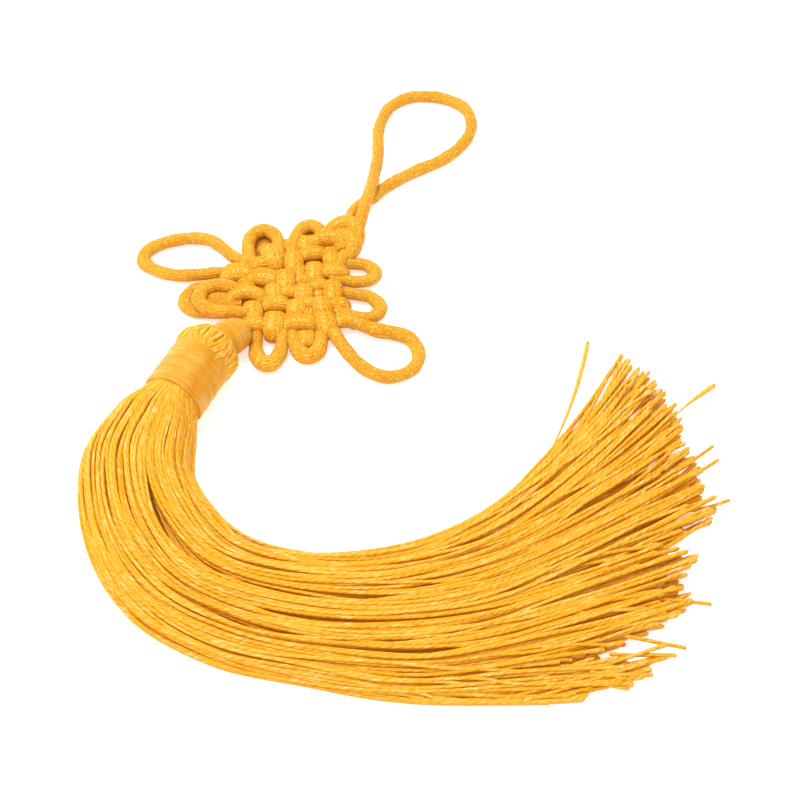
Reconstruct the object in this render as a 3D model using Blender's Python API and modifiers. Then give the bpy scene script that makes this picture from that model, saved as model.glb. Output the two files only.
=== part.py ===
"""A golden silk tassel with an endless knot, lying on its side as it was laid down.

The hanging loop, the button knot, the endless knot with its ears, the wrapped neck, the
binding and the tassel are separate solids. Lengths in the tables are millimetres, in a
layout whose middle is LAYOUT_MIDDLE; the finished part has its origin under its middle.
"""

import math
import random

import bmesh
import bpy
from mathutils import Vector

MM = 0.001
LAYOUT_MIDDLE = (-0.3, 13.75)
GAP = 0.3

# Cords, all of the one 2.5 mm satin cord
CORD_RADIUS = 1.25
EAR_RADIUS = 1.3
TUBE_STEP = 2.6

# Hanging loop: the route of the cord, up one limb, over the bow and down the other
LOOP_ROUTE = (
    # x, y, z
    (-9.9, 48.7, 4.2),
    (-8.2, 53.4, 4.3),
    (-6.7, 57.6, 4.2),
    (-5.8, 63.0, 3.0),
    (-5.4, 69.0, 1.8),
    (-5.0, 75.6, 1.3),
    (-4.6, 80.4, 1.3),
    (-3.4, 84.8, 1.3),
    (-0.8, 88.6, 1.3),
    (2.8, 91.2, 1.3),
    (7.6, 92.0, 1.3),
    (12.6, 90.9, 1.3),
    (15.7, 87.2, 1.3),
    (16.3, 81.6, 1.3),
    (14.4, 75.6, 1.3),
    (10.2, 71.0, 1.3),
    (4.8, 66.9, 1.3),
    (-0.6, 62.9, 1.3),
    (-5.0, 58.6, 1.3),
    (-8.6, 54.4, 1.3),
    (-11.3, 49.3, 1.6),
)

# Button knot: a thick turn of cord round a short core
CROWN_RADIUS = 1.75
CROWN_TURN = (
    # x, y, z
    (-13.6, 43.2, 3.2),
    (-13.7, 45.5, 3.9),
    (-11.6, 47.2, 4.4),
    (-9.0, 46.1, 4.4),
    (-8.1, 43.0, 3.9),
    (-8.8, 40.6, 3.2),
)
CROWN_CORE_RADIUS = 2.3
CROWN_CORE = (
    # x, y, z
    (-13.0, 43.7, 2.5),
    (-11.2, 44.1, 2.7),
    (-9.5, 46.5, 2.7),
)

# Endless knot: corners of the woven body, left, top, right and tassel corner
KNOT_LEFT = (-36.0, 32.4)
KNOT_TOP = (-13.6, 40.6)
KNOT_RIGHT = (-10.8, 17.5)
KNOT_FOOT = (-30.5, 16.3)
LINES = 6
# Which cord shows on top at each crossing, V a cord that runs up the page and H one that
# runs across it, with a row for each cross cord from the top
WEAVE = (
    "VVHVHH",
    "VHVHVV",
    "HHVHVH",
    "HVHVHV",
    "VHVVHV",
    "HVHHVH",
)
WEAVE_MIDDLE = 2.75
WEAVE_RISE = 1.0
LINE_HALF_THICK = 1.35
LINE_HALF_WIDTH = 0.155
HOLE_HEIGHT = 3.2
GRID_PER_LINE = 4
CORNER_DRAW = 0.055
EDGE_HEIGHT = 3.0
ON_RIM = 0.999

# Ears, as the cord runs: two small ones on each side of the knot and a long one at each
# side corner. Both ends of each are inside the woven body
EARS = {
    "top_left": (
        # x, y, z
        (-30.0, 33.2, 2.6),
        (-31.0, 35.8, 2.9),
        (-31.6, 38.5, 3.0),
        (-31.8, 40.9, 3.0),
        (-30.9, 43.2, 3.1),
        (-28.9, 44.3, 3.2),
        (-26.9, 43.4, 3.1),
        (-25.6, 41.2, 3.0),
        (-25.2, 38.2, 2.9),
        (-25.3, 35.0, 2.6),
    ),
    "top_right": (
        (-22.8, 36.0, 2.6),
        (-22.5, 38.8, 2.9),
        (-22.1, 41.6, 3.0),
        (-21.2, 44.2, 3.1),
        (-19.3, 45.7, 3.2),
        (-17.4, 44.8, 3.2),
        (-16.5, 42.6, 3.1),
        (-16.6, 39.8, 2.9),
        (-17.2, 37.0, 2.6),
    ),
    "right_upper": (
        (-14.6, 34.6, 2.4),
        (-12.0, 35.1, 2.1),
        (-9.4, 35.5, 1.8),
        (-6.8, 35.2, 1.6),
        (-5.0, 33.0, 1.5),
        (-6.4, 30.9, 1.6),
        (-9.0, 30.2, 1.8),
        (-12.0, 30.4, 2.1),
        (-14.6, 30.4, 2.4),
    ),
    "right_lower": (
        (-14.6, 26.8, 2.4),
        (-12.0, 26.8, 2.1),
        (-9.0, 26.6, 1.8),
        (-6.0, 26.0, 1.6),
        (-3.9, 23.2, 1.5),
        (-5.4, 20.5, 1.6),
        (-8.4, 20.1, 1.8),
        (-11.4, 21.2, 2.2),
        (-13.8, 22.6, 2.5),
    ),
    "bottom_left": (
        (-28.3, 19.6, 2.5),
        (-28.4, 16.6, 2.2),
        (-28.5, 13.6, 1.8),
        (-28.2, 10.6, 1.6),
        (-27.0, 8.4, 1.5),
        (-25.3, 8.0, 1.5),
        (-23.9, 9.8, 1.6),
        (-23.3, 12.8, 1.8),
        (-23.3, 16.2, 2.2),
        (-23.3, 19.6, 2.5),
    ),
    "bottom_right": (
        (-21.4, 20.0, 2.5),
        (-21.3, 17.0, 2.2),
        (-20.9, 13.8, 1.8),
        (-19.9, 11.2, 1.6),
        (-18.0, 9.8, 1.5),
        (-16.2, 11.2, 1.6),
        (-15.6, 14.2, 1.8),
        (-15.8, 17.4, 2.2),
        (-16.2, 20.4, 2.5),
    ),
    "left_outer": (
        (-32.6, 29.8, 1.6),
        (-35.2, 29.6, 1.4),
        (-38.2, 29.4, 1.4),
        (-41.4, 28.8, 1.4),
        (-43.4, 26.6, 1.4),
        (-43.4, 24.0, 1.4),
        (-41.6, 22.4, 1.4),
        (-38.2, 22.0, 1.4),
        (-34.6, 22.0, 1.4),
        (-31.0, 22.6, 1.6),
    ),
    "left_upper": (
        (-31.6, 25.6, 3.4),
        (-34.2, 26.2, 4.2),
        (-37.3, 26.6, 4.5),
        (-39.7, 25.4, 4.4),
        (-40.4, 22.9, 4.4),
        (-38.9, 20.6, 4.4),
        (-36.0, 19.4, 4.4),
        (-33.0, 19.5, 4.1),
        (-30.2, 19.9, 3.3),
    ),
    "long_left": (
        (-30.0, 34.6, 2.9),
        (-32.2, 37.0, 2.8),
        (-34.4, 38.6, 2.6),
        (-36.8, 40.6, 2.3),
        (-39.8, 42.3, 2.0),
        (-44.4, 42.9, 1.6),
        (-49.0, 42.1, 1.4),
        (-52.6, 39.8, 1.4),
        (-53.0, 36.6, 1.4),
        (-50.4, 34.0, 1.4),
        (-46.4, 32.6, 1.5),
        (-42.0, 32.3, 1.8),
        (-37.6, 32.5, 2.2),
        (-33.8, 32.2, 2.6),
    ),
    "long_right": (
        (-15.4, 19.6, 2.6),
        (-13.2, 16.7, 2.4),
        (-11.2, 13.2, 2.1),
        (-9.0, 9.8, 1.8),
        (-6.3, 6.9, 1.5),
        (-2.9, 5.1, 1.4),
        (0.3, 5.3, 1.4),
        (2.8, 7.3, 1.4),
        (3.7, 10.9, 1.4),
        (2.0, 15.0, 1.4),
        (-0.9, 16.6, 1.6),
        (-4.8, 17.2, 2.0),
        (-9.0, 18.4, 2.4),
        (-12.9, 21.6, 2.6),
    ),
}

# Tassel: the axis of the bound part runs from the head to the end of the binding
BIND_START = (-38.2, 4.6)
BIND_END = (-42.7, -4.95)
AXIS_HEIGHT = 6.1
BIND_RADIUS = 6.1
BIND_WALL = 0.9
BIND_ROUND = 0.5
BIND_STEPS = 42
CORE_RADIUS = BIND_RADIUS - BIND_WALL - GAP

# Head: the bent yarns, from the binding to the dimple round the neck, pressed flat below
HEAD_REST = 0.0
HEAD_PROFILE = (
    # distance beyond the binding, radius, ridge height, sink of the ring
    (0.4, 5.7, 0.25, 0.0),
    (1.5, 6.2, 0.45, 0.0),
    (3.1, 6.1, 0.5, 0.1),
    (4.7, 5.3, 0.5, 0.3),
    (5.5, 4.0, 0.35, 0.5),
    (5.1, 2.6, 0.2, 0.5),
)

# Neck: a lump of cord wrapped with thread between the knot and the head
NECK_START = (-31.7, 14.4)
NECK_END = (-35.2, 10.5)
NECK_HEIGHT = 4.1
NECK_PROFILE = (
    # share of the length, radius
    (0.0, 2.2),
    (0.12, 3.3),
    (0.45, 3.95),
    (0.8, 3.6),
    (1.0, 2.2),
)
NECK_STEPS = 28

# Skirt: strands laid out between an inner, a middle and an outer edge, section by section
COLUMNS = 20
ROWS = 4
ROW_STAGGER = (0.0, 0.5, 0.25, 0.75)
ROW_START = 0.14
STAGGER_SHARE = 0.95
ROOT_INSET = 0.07
# Sections over which a strand moves from its place in the core to its place in the skirt
SETTLE = 2.0
STRAND_SHARE = 0.6
STRAND_WIDEST = 1.7
RUN_STEP = 0.02
STRAND_SEED = 7
SHORTEST_STRAND = 0.93
# Where along the sections each strand has a ring, closer together round the bend
STRAND_RINGS = (0.35, 1.0, 1.7, 2.4, 3.1, 3.8, 4.6, 5.5, 6.5, 7.7)
SECTIONS = (
    # inner x, y, middle x, y, outer x, y, pile height, strand height
    (-39.0, -6.9, -43.3, -5.4, -47.4, -2.9, 9.0, 1.3),
    (-38.2, -11.6, -45.2, -9.8, -51.6, -6.6, 9.4, 1.4),
    (-36.4, -20.0, -47.6, -18.6, -57.2, -16.0, 7.8, 1.4),
    (-32.9, -27.2, -44.6, -31.0, -55.6, -34.6, 6.3, 1.2),
    (-25.6, -32.6, -36.2, -42.0, -46.6, -49.2, 5.5, 1.05),
    (-12.6, -35.0, -22.6, -47.6, -31.6, -57.4, 5.0, 0.95),
    (3.0, -32.2, -5.0, -49.6, -16.0, -61.9, 4.6, 0.9),
    (17.6, -24.4, 14.2, -46.4, -1.0, -64.0, 4.2, 0.85),
    (30.6, -9.2, 35.4, -37.0, 14.0, -65.0, 3.6, 0.75),
    (43.0, 10.6, 58.4, -25.0, 27.2, -65.6, 3.0, 0.65),
)

GOLD = (0.90, 0.42, 0.035, 1.0)
PALE_GOLD = (0.95, 0.50, 0.06, 1.0)
DEEP_GOLD = (0.82, 0.34, 0.02, 1.0)


def place(x, y, z=0.0):
    """A point of the layout, in metres in the part's own frame."""
    return Vector(((x - LAYOUT_MIDDLE[0]) * MM, (y - LAYOUT_MIDDLE[1]) * MM, z * MM))


def material(name, colour, roughness):
    made = bpy.data.materials.new(name)
    made.use_nodes = True
    shader = made.node_tree.nodes["Principled BSDF"]
    shader.inputs["Base Color"].default_value = colour
    shader.inputs["Roughness"].default_value = roughness
    shader.inputs["Metallic"].default_value = 0.0
    return made


def collection(name):
    made = bpy.data.collections.new(name)
    bpy.context.scene.collection.children.link(made)
    return made


def spline_point(points, at):
    """The point at a place along a smooth curve through the points, 0 at the first."""
    i = min(int(at), len(points) - 2)
    t = at - i
    p1, p2 = points[i], points[i + 1]
    p0 = points[i - 1] if i else p1 * 2 - p2
    p3 = points[i + 2] if i + 2 < len(points) else p2 * 2 - p1
    return 0.5 * (
        p1 * 2
        + (p2 - p0) * t
        + (p0 * 2 - p1 * 5 + p2 * 4 - p3) * t**2
        + (p1 * 3 - p0 - p2 * 3 + p3) * t**3
    )


def smooth_route(points, step):
    """The points read from the smooth curve through a route, about a step apart."""
    length = sum((b - a).length for a, b in zip(points, points[1:]))
    count = max(4, round(length / step))
    last = len(points) - 1
    return [spline_point(points, last * k / count) for k in range(count + 1)]


def tube(name, route, radius, finish, into):
    """A cord along a route of layout points, as a closed mesh."""
    points = smooth_route([place(*p) for p in route], TUBE_STEP * MM)
    curve = bpy.data.curves.new(name, "CURVE")
    curve.dimensions = "3D"
    curve.bevel_depth = radius * MM
    curve.bevel_resolution = 2
    curve.use_fill_caps = True
    line = curve.splines.new("POLY")
    line.points.add(len(points) - 1)
    for point, co in zip(line.points, points):
        point.co = (*co, 1.0)
    guide = bpy.data.objects.new(name + "_guide", curve)
    into.objects.link(guide)
    bpy.context.view_layer.update()
    graph = bpy.context.evaluated_depsgraph_get()
    mesh = bpy.data.meshes.new_from_object(guide.evaluated_get(graph))
    weld_caps(mesh)
    made = bpy.data.objects.new(name, mesh)
    made.matrix_world = guide.matrix_world
    bpy.data.objects.remove(guide)
    into.objects.link(made)
    finish_mesh(made, finish)
    return made


def weld_caps(mesh):
    work = bmesh.new()
    work.from_mesh(mesh)
    bmesh.ops.remove_doubles(work, verts=work.verts, dist=1e-6)
    bmesh.ops.recalc_face_normals(work, faces=work.faces)
    work.to_mesh(mesh)
    work.free()


def finish_mesh(made, finish):
    made.data.materials.clear()
    made.data.materials.append(finish)
    made.data.shade_smooth()
    made.data.set_sharp_from_angle(angle=math.radians(50))


def mesh_object(name, work, finish, into):
    mesh = bpy.data.meshes.new(name)
    work.to_mesh(mesh)
    work.free()
    made = bpy.data.objects.new(name, mesh)
    into.objects.link(made)
    finish_mesh(made, finish)
    return made


def join_to(base, tools, helpers):
    """Unions each tool into the base, and keeps the tools as hidden helpers."""
    for tool in tools:
        for owner in list(tool.users_collection):
            owner.objects.unlink(tool)
        helpers.objects.link(tool)
        tool.hide_render = True
        tool.display_type = "WIRE"
        union = base.modifiers.new("join " + tool.name, "BOOLEAN")
        union.operation = "UNION"
        union.solver = "EXACT"
        union.object = tool


def knot_place(across, up):
    """A place on the knot's body, in layout millimetres, from -1 to 1 each way."""
    a, b = (across + 1) / 2, (up + 1) / 2
    low = [KNOT_FOOT[k] * (1 - a) + KNOT_RIGHT[k] * a for k in (0, 1)]
    high = [KNOT_LEFT[k] * (1 - a) + KNOT_TOP[k] * a for k in (0, 1)]
    return tuple(low[k] * (1 - b) + high[k] * b for k in (0, 1))


def line_level(levels, at):
    """How far a cord is up, 1, or down, -1, at a place from -1 to 1 along it."""
    place_on_line = (at + 1) * LINES / 2 - 0.5
    place_on_line = min(max(place_on_line, 0.0), LINES - 1.0)
    i = min(int(place_on_line), LINES - 2)
    ease = (1 - math.cos(math.pi * (place_on_line - i))) / 2
    return levels[i] * (1 - ease) + levels[i + 1] * ease


def cord_top(offset, level):
    """The height of a woven cord's top at an offset from its middle line."""
    share = abs(offset) / LINE_HALF_WIDTH
    if share >= 1:
        return 0.0
    return WEAVE_MIDDLE + WEAVE_RISE * level + LINE_HALF_THICK * math.sqrt(1 - share**2)


def weave_height(across, up):
    """The height of the knot's woven face at a place from -1 to 1 each way."""
    heights = [HOLE_HEIGHT]
    for k in range(LINES):
        middle = (2 * k + 1) / LINES - 1
        row = [1 if mark == "H" else -1 for mark in WEAVE[LINES - 1 - k]]
        column = [1 if WEAVE[LINES - 1 - n][k] == "V" else -1 for n in range(LINES)]
        heights.append(cord_top(up - middle, line_level(row, across)))
        heights.append(cord_top(across - middle, line_level(column, up)))
    return max(heights)


def make_knot_body(finish, into):
    """The woven body: a grid raised into the cords' tops, with a flat underside."""
    work = bmesh.new()
    count = LINES * GRID_PER_LINE
    bmesh.ops.create_grid(work, x_segments=count, y_segments=count, size=1.0)
    rim = [e for e in work.edges if e.is_boundary]
    skirt = bmesh.ops.extrude_edge_only(work, edges=rim)["geom"]
    low = {g for g in skirt if isinstance(g, bmesh.types.BMVert)}
    for vert in work.verts:
        across, up = vert.co.x, vert.co.y
        draw = 1 - CORNER_DRAW * (abs(across * up) ** 3)
        on_rim = max(abs(across), abs(up)) > ON_RIM
        x, y = knot_place(across * draw, up * draw)
        if vert in low:
            height = 0.0
        elif on_rim:
            height = EDGE_HEIGHT
        else:
            height = weave_height(across, up)
        vert.co = place(x, y, height)
    bmesh.ops.holes_fill(work, edges=[e for e in work.edges if e.is_boundary], sides=0)
    bmesh.ops.recalc_face_normals(work, faces=work.faces)
    return mesh_object("endless_knot", work, finish, into)


def make_knot(finish, into, helpers):
    body = make_knot_body(finish, into)
    ears = [
        tube("ear_" + name, route, EAR_RADIUS, finish, into)
        for name, route in EARS.items()
    ]
    join_to(body, ears, helpers)
    return body


def make_crown(finish, into, helpers):
    turn = tube("crown_knot", CROWN_TURN, CROWN_RADIUS, finish, into)
    core = tube("crown_core", CROWN_CORE, CROWN_CORE_RADIUS, finish, into)
    join_to(turn, [core], helpers)
    return turn


def turned(name, profile, steps, finish, into):
    """A turned solid: a profile of radius and height, in millimetres, round local Z."""
    work = bmesh.new()
    verts = [work.verts.new((r * MM, 0.0, z * MM)) for r, z in profile]
    for a, b in zip(verts, verts[1:]):
        work.edges.new((a, b))
    if profile[0][0] > 0:
        work.edges.new((verts[-1], verts[0]))
    made = mesh_object(name, work, finish, into)
    screw = made.modifiers.new("turn", "SCREW")
    screw.steps = steps
    screw.render_steps = steps
    screw.use_merge_vertices = True
    screw.merge_threshold = 1e-6
    return made


def lay_along(made, start, end, height):
    """Lays a turned solid's axis from one layout point to another."""
    made.location = place(*start, height)
    direction = Vector((end[0] - start[0], end[1] - start[1], 0.0))
    made.rotation_euler = direction.to_track_quat("Z", "Y").to_euler()


def make_neck(finish, into):
    length = math.dist(NECK_START, NECK_END)
    rings = [(r, share * length) for share, r in reversed(NECK_PROFILE)]
    made = turned(
        "neck_wrap",
        [(0.0, length)] + rings + [(0.0, 0.0)],
        NECK_STEPS,
        finish,
        into,
    )
    lay_along(made, NECK_START, NECK_END, NECK_HEIGHT)
    return made


def make_binding(finish, into):
    length = math.dist(BIND_START, BIND_END)
    inner = BIND_RADIUS - BIND_WALL
    profile = [
        (inner, length),
        (BIND_RADIUS - BIND_ROUND, length),
        (BIND_RADIUS, length - BIND_ROUND),
        (BIND_RADIUS, BIND_ROUND),
        (BIND_RADIUS - BIND_ROUND, 0.0),
        (inner, 0.0),
    ]
    made = turned("binding", profile, BIND_STEPS, finish, into)
    rest_height = BIND_RADIUS * math.cos(math.pi / BIND_STEPS)
    lay_along(made, BIND_START, BIND_END, rest_height)
    return made


def section(at):
    """The skirt's section at a place along it, 0 at the core and 9 at the cut ends."""
    rows = [Vector(row[:6]) for row in SECTIONS]
    sizes = [Vector(row[6:]) for row in SECTIONS]
    return spline_point(rows, at), spline_point(sizes, at)


def strand_point(at, share):
    """A point of the skirt's plan at a place along it, -1 at the inner edge, 1 outer."""
    edges, _ = section(at)
    inner = edges[0:2]
    middle = edges[2:4]
    outer = edges[4:6]
    weights = ((share**2 - share) / 2, 1 - share**2, (share**2 + share) / 2)
    places = [
        weights[0] * inner[k] + weights[1] * middle[k] + weights[2] * outer[k]
        for k in (0, 1)
    ]
    return Vector(places)


def strand_ring(at, share, row):
    """Centre, width direction, width and height of a strand's section, in layout mm."""
    here = strand_point(at, share)
    ahead = strand_point(min(at + RUN_STEP, len(SECTIONS) - 1), share)
    behind = strand_point(max(at - RUN_STEP, 0.0), share)
    run = (ahead - behind).normalized()
    side = Vector((-run.y, run.x))
    beside = strand_point(at, share + 2 / COLUMNS)
    pitch = abs((beside - here).dot(side))
    _, (pile, height) = section(at)
    width = min(STRAND_SHARE * pitch, STRAND_WIDEST)
    level = row / (ROWS - 1)
    lift = height / 2 + level * (pile - height)
    rise = max(0.0, 1 - at) * (AXIS_HEIGHT - pile / 2)
    return Vector((*here, lift + rise)), Vector((*side, 0.0)), width, height


def make_tassel(finish, into):
    """Head, core and strands in one piece: each strand grows from a face of the core."""
    rng = random.Random(STRAND_SEED)
    axis = Vector((BIND_END[0] - BIND_START[0], BIND_END[1] - BIND_START[1], 0.0))
    axis.normalize()
    side = Vector((axis.y, -axis.x, 0.0))
    up = Vector((0.0, 0.0, 1.0))
    end = Vector((*BIND_END, AXIS_HEIGHT))
    work = bmesh.new()
    bmesh.ops.create_grid(work, x_segments=COLUMNS, y_segments=ROWS, size=1.0)
    cells = {}
    for face in work.faces:
        middle = face.calc_center_median()
        column = int((middle.x + 1) / 2 * COLUMNS)
        row = int((middle.y + 1) / 2 * ROWS)
        cells[(column, row)] = face
    rim = [e for e in work.edges if e.is_boundary]
    angles = {}
    for vert in work.verts:
        a, b = vert.co.x, vert.co.y
        wide = a * math.sqrt(1 - b * b / 2)
        high = b * math.sqrt(1 - a * a / 2)
        angles[vert] = math.atan2(high, wide)
        spot = end + side * (wide * CORE_RADIUS) + up * (high * CORE_RADIUS)
        vert.co = place(*spot)
    grow_head(work, rim, angles, end, axis, side, up)
    for (column, row), face in sorted(cells.items()):
        grow_strand(work, face, column, row, rng)
    bmesh.ops.recalc_face_normals(work, faces=work.faces)
    return mesh_object("tassel", work, finish, into)


def grow_strand(work, face, column, row, rng):
    """Insets a cell of the core and extrudes it along the strand's path."""
    share = -1 + 2 * (column + ROW_START + STAGGER_SHARE * ROW_STAGGER[row]) / COLUMNS
    root = 2 * (column + 0.5) / COLUMNS - 1
    last = (len(SECTIONS) - 1) * rng.uniform(SHORTEST_STRAND, 1.0)
    inset = ROOT_INSET * MM
    bmesh.ops.inset_individual(work, faces=[face], thickness=inset, use_even_offset=True)
    middle = face.calc_center_median()
    corners = sorted(face.verts, key=lambda v: corner_angle(v.co - middle))
    signs = {tuple(v.co): s for v, s in zip(corners, ((-1, -1), (1, -1), (1, 1), (-1, 1)))}
    for at in (*STRAND_RINGS, last):
        blend = min(1.0, at / SETTLE)
        here = root * (1 - blend) + share * blend
        centre, side, width, height = strand_ring(at, here, row)
        made = bmesh.ops.extrude_discrete_faces(work, faces=[face])["faces"]
        face = made[0]
        moved = {}
        for vert in face.verts:
            a, b = signs[tuple(vert.co)]
            spot = centre + side * (a * width / 2) + Vector((0.0, 0.0, b * height / 2))
            vert.co = place(*spot)
            moved[tuple(vert.co)] = (a, b)
        signs = moved


def corner_angle(offset):
    """The angle of a root's corner round its middle, seen along the binding's axis."""
    along = Vector((BIND_END[0] - BIND_START[0], BIND_END[1] - BIND_START[1])).normalized()
    return math.atan2(offset.z, along.x * offset.y - along.y * offset.x)


def grow_head(work, rim, angles, end, axis, side, up):
    """Runs the core back through the binding and out into the ridged head."""
    bound = math.dist(BIND_START, BIND_END)
    rings = [(-bound - GAP, CORE_RADIUS, 0.0, 0.0)]
    for beyond, radius, ridge, sink in HEAD_PROFILE:
        rings.append((-bound - GAP - beyond, radius, ridge, sink))
    verts = {v for e in rim for v in e.verts}
    order = sorted(verts, key=lambda v: angles[v])
    turn = {v: k for k, v in enumerate(order)}
    count = len(order)
    edges = rim
    for run, radius, ridge, sink in rings:
        grown = bmesh.ops.extrude_edge_only(work, edges=edges)["geom"]
        new = [g for g in grown if isinstance(g, bmesh.types.BMVert)]
        edges = [g for g in grown if isinstance(g, bmesh.types.BMEdge)]
        old = {tuple(v.co): v for v in turn}
        turn = {v: turn[old[tuple(v.co)]] for v in new}
        for vert, k in turn.items():
            angle = -math.pi + 2 * math.pi * (k + 0.5) / count
            reach = radius - (ridge if k % 2 else 0.0)
            across = side * (reach * math.cos(angle))
            spot = end + axis * run + across + up * (reach * math.sin(angle) - sink)
            vert.co = place(spot.x, spot.y, max(spot.z, HEAD_REST))
    bmesh.ops.holes_fill(work, edges=edges, sides=0)


def clear_scene():
    for old in list(bpy.data.objects):
        bpy.data.objects.remove(old)


def main():
    clear_scene()
    parts = collection("silk_tassel")
    helpers = collection("joined_tubes")
    cord_silk = material("cord_silk", GOLD, 0.45)
    wrap_silk = material("wrap_silk", PALE_GOLD, 0.38)
    yarn_silk = material("yarn_silk", GOLD, 0.42)
    knot_silk = material("knot_silk", DEEP_GOLD, 0.45)
    tube("hanging_loop", LOOP_ROUTE, CORD_RADIUS, cord_silk, parts)
    make_crown(knot_silk, parts, helpers)
    make_knot(knot_silk, parts, helpers)
    make_neck(wrap_silk, parts)
    make_binding(wrap_silk, parts)
    make_tassel(yarn_silk, parts)


main()
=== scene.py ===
"""The looks of a golden silk tassel with an endless knot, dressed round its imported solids.

Tables are in millimetres of the same layout as the solids', and Layout turns them into
the part's own frame. Every cord, thread and yarn is a tube bent along a smooth route. Its
UV map is named "along": U is the turn round the tube and V the millimetres along it.
"""

import logging
import math
from dataclasses import dataclass
from enum import Enum
from typing import Any, Optional, Sequence, Union

import bmesh
import bpy
import numpy as np
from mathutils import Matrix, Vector


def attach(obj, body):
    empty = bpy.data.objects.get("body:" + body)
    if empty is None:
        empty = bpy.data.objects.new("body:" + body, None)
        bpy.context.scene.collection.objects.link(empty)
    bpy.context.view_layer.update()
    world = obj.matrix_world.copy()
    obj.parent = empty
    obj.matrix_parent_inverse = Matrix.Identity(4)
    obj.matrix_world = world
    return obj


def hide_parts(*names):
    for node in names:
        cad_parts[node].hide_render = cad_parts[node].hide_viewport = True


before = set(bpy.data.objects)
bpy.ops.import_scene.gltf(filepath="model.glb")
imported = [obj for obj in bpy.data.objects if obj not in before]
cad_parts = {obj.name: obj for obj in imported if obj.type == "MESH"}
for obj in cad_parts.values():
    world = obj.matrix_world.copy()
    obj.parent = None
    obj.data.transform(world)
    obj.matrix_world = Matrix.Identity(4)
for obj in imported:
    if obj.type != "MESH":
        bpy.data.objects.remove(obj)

LOG = logging.getLogger("silk_tassel")
UV_NAME = "along"
TONE_NAME = "tone"

Array = np.ndarray
Colour = tuple[float, float, float]


class Slot(Enum):
    """The record's material slots."""

    CORD = "cord_silk"
    WRAP = "wrap_thread"
    YARN = "tassel_yarn"


class Layout:
    """The drawing that the tables are in, whose middle is the part's own middle."""

    MM = 0.001
    MIDDLE = np.array([-0.3, 13.75, 0.0])

    @classmethod
    def metres(cls, points: Array) -> Array:
        """Layout millimetres as metres in the part's frame."""
        return (points - cls.MIDDLE) * cls.MM


# Curves


def spline(points: Array, at: Array) -> Array:
    """Reads a smooth curve through points.

    Args:
        points: Points or table rows, (n, k).
        at: Places along the curve, where point i is at i.

    Returns:
        The curve at each place, (m, k).
    """
    last = len(points) - 1
    i = np.clip(at.astype(int), 0, last - 1)
    t = (at - i)[:, None]
    padded = np.vstack([2 * points[0] - points[1], points, 2 * points[-1] - points[-2]])
    p0, p1, p2, p3 = (padded[i + k] for k in range(4))
    return 0.5 * (
        2 * p1
        + (p2 - p0) * t
        + (2 * p0 - 5 * p1 + 4 * p2 - p3) * t**2
        + (3 * p1 - p0 - 3 * p2 + p3) * t**3
    )


def evenly(points: Sequence[Sequence[float]], count: int, fine: int = 24) -> Array:
    """Reads a smooth curve at places an equal length apart.

    Args:
        points: The route, (n, k), whose first three columns are x, y and z.
        count: How many places to read.
        fine: Trial places for each span of the route.

    Returns:
        The route at those places, (count, k).
    """
    route = np.array(points, float)
    trial = np.linspace(0, len(route) - 1, fine * (len(route) - 1) + 1)
    steps = np.linalg.norm(np.diff(spline(route, trial)[:, :3], axis=0), axis=1)
    run = np.concatenate([[0.0], np.cumsum(steps)])
    return spline(route, np.interp(np.linspace(0, run[-1], count), run, trial))


def unit(vectors: Array) -> Array:
    """Vectors made one long."""
    return vectors / np.maximum(np.linalg.norm(vectors, axis=-1, keepdims=True), 1e-12)


def run_lengths(centres: Array) -> Array:
    """The length run so far at each station of each centre line, (n, r)."""
    steps = np.linalg.norm(np.diff(centres, axis=1), axis=2)
    return np.concatenate([np.zeros((len(centres), 1)), np.cumsum(steps, axis=1)], axis=1)


def smoothstep(low: float, high: float, value: Array) -> Array:
    """Eases from 0 at low to 1 at high."""
    t = np.clip((value - low) / (high - low), 0, 1)
    return t * t * (3 - 2 * t)


# Meshes


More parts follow.
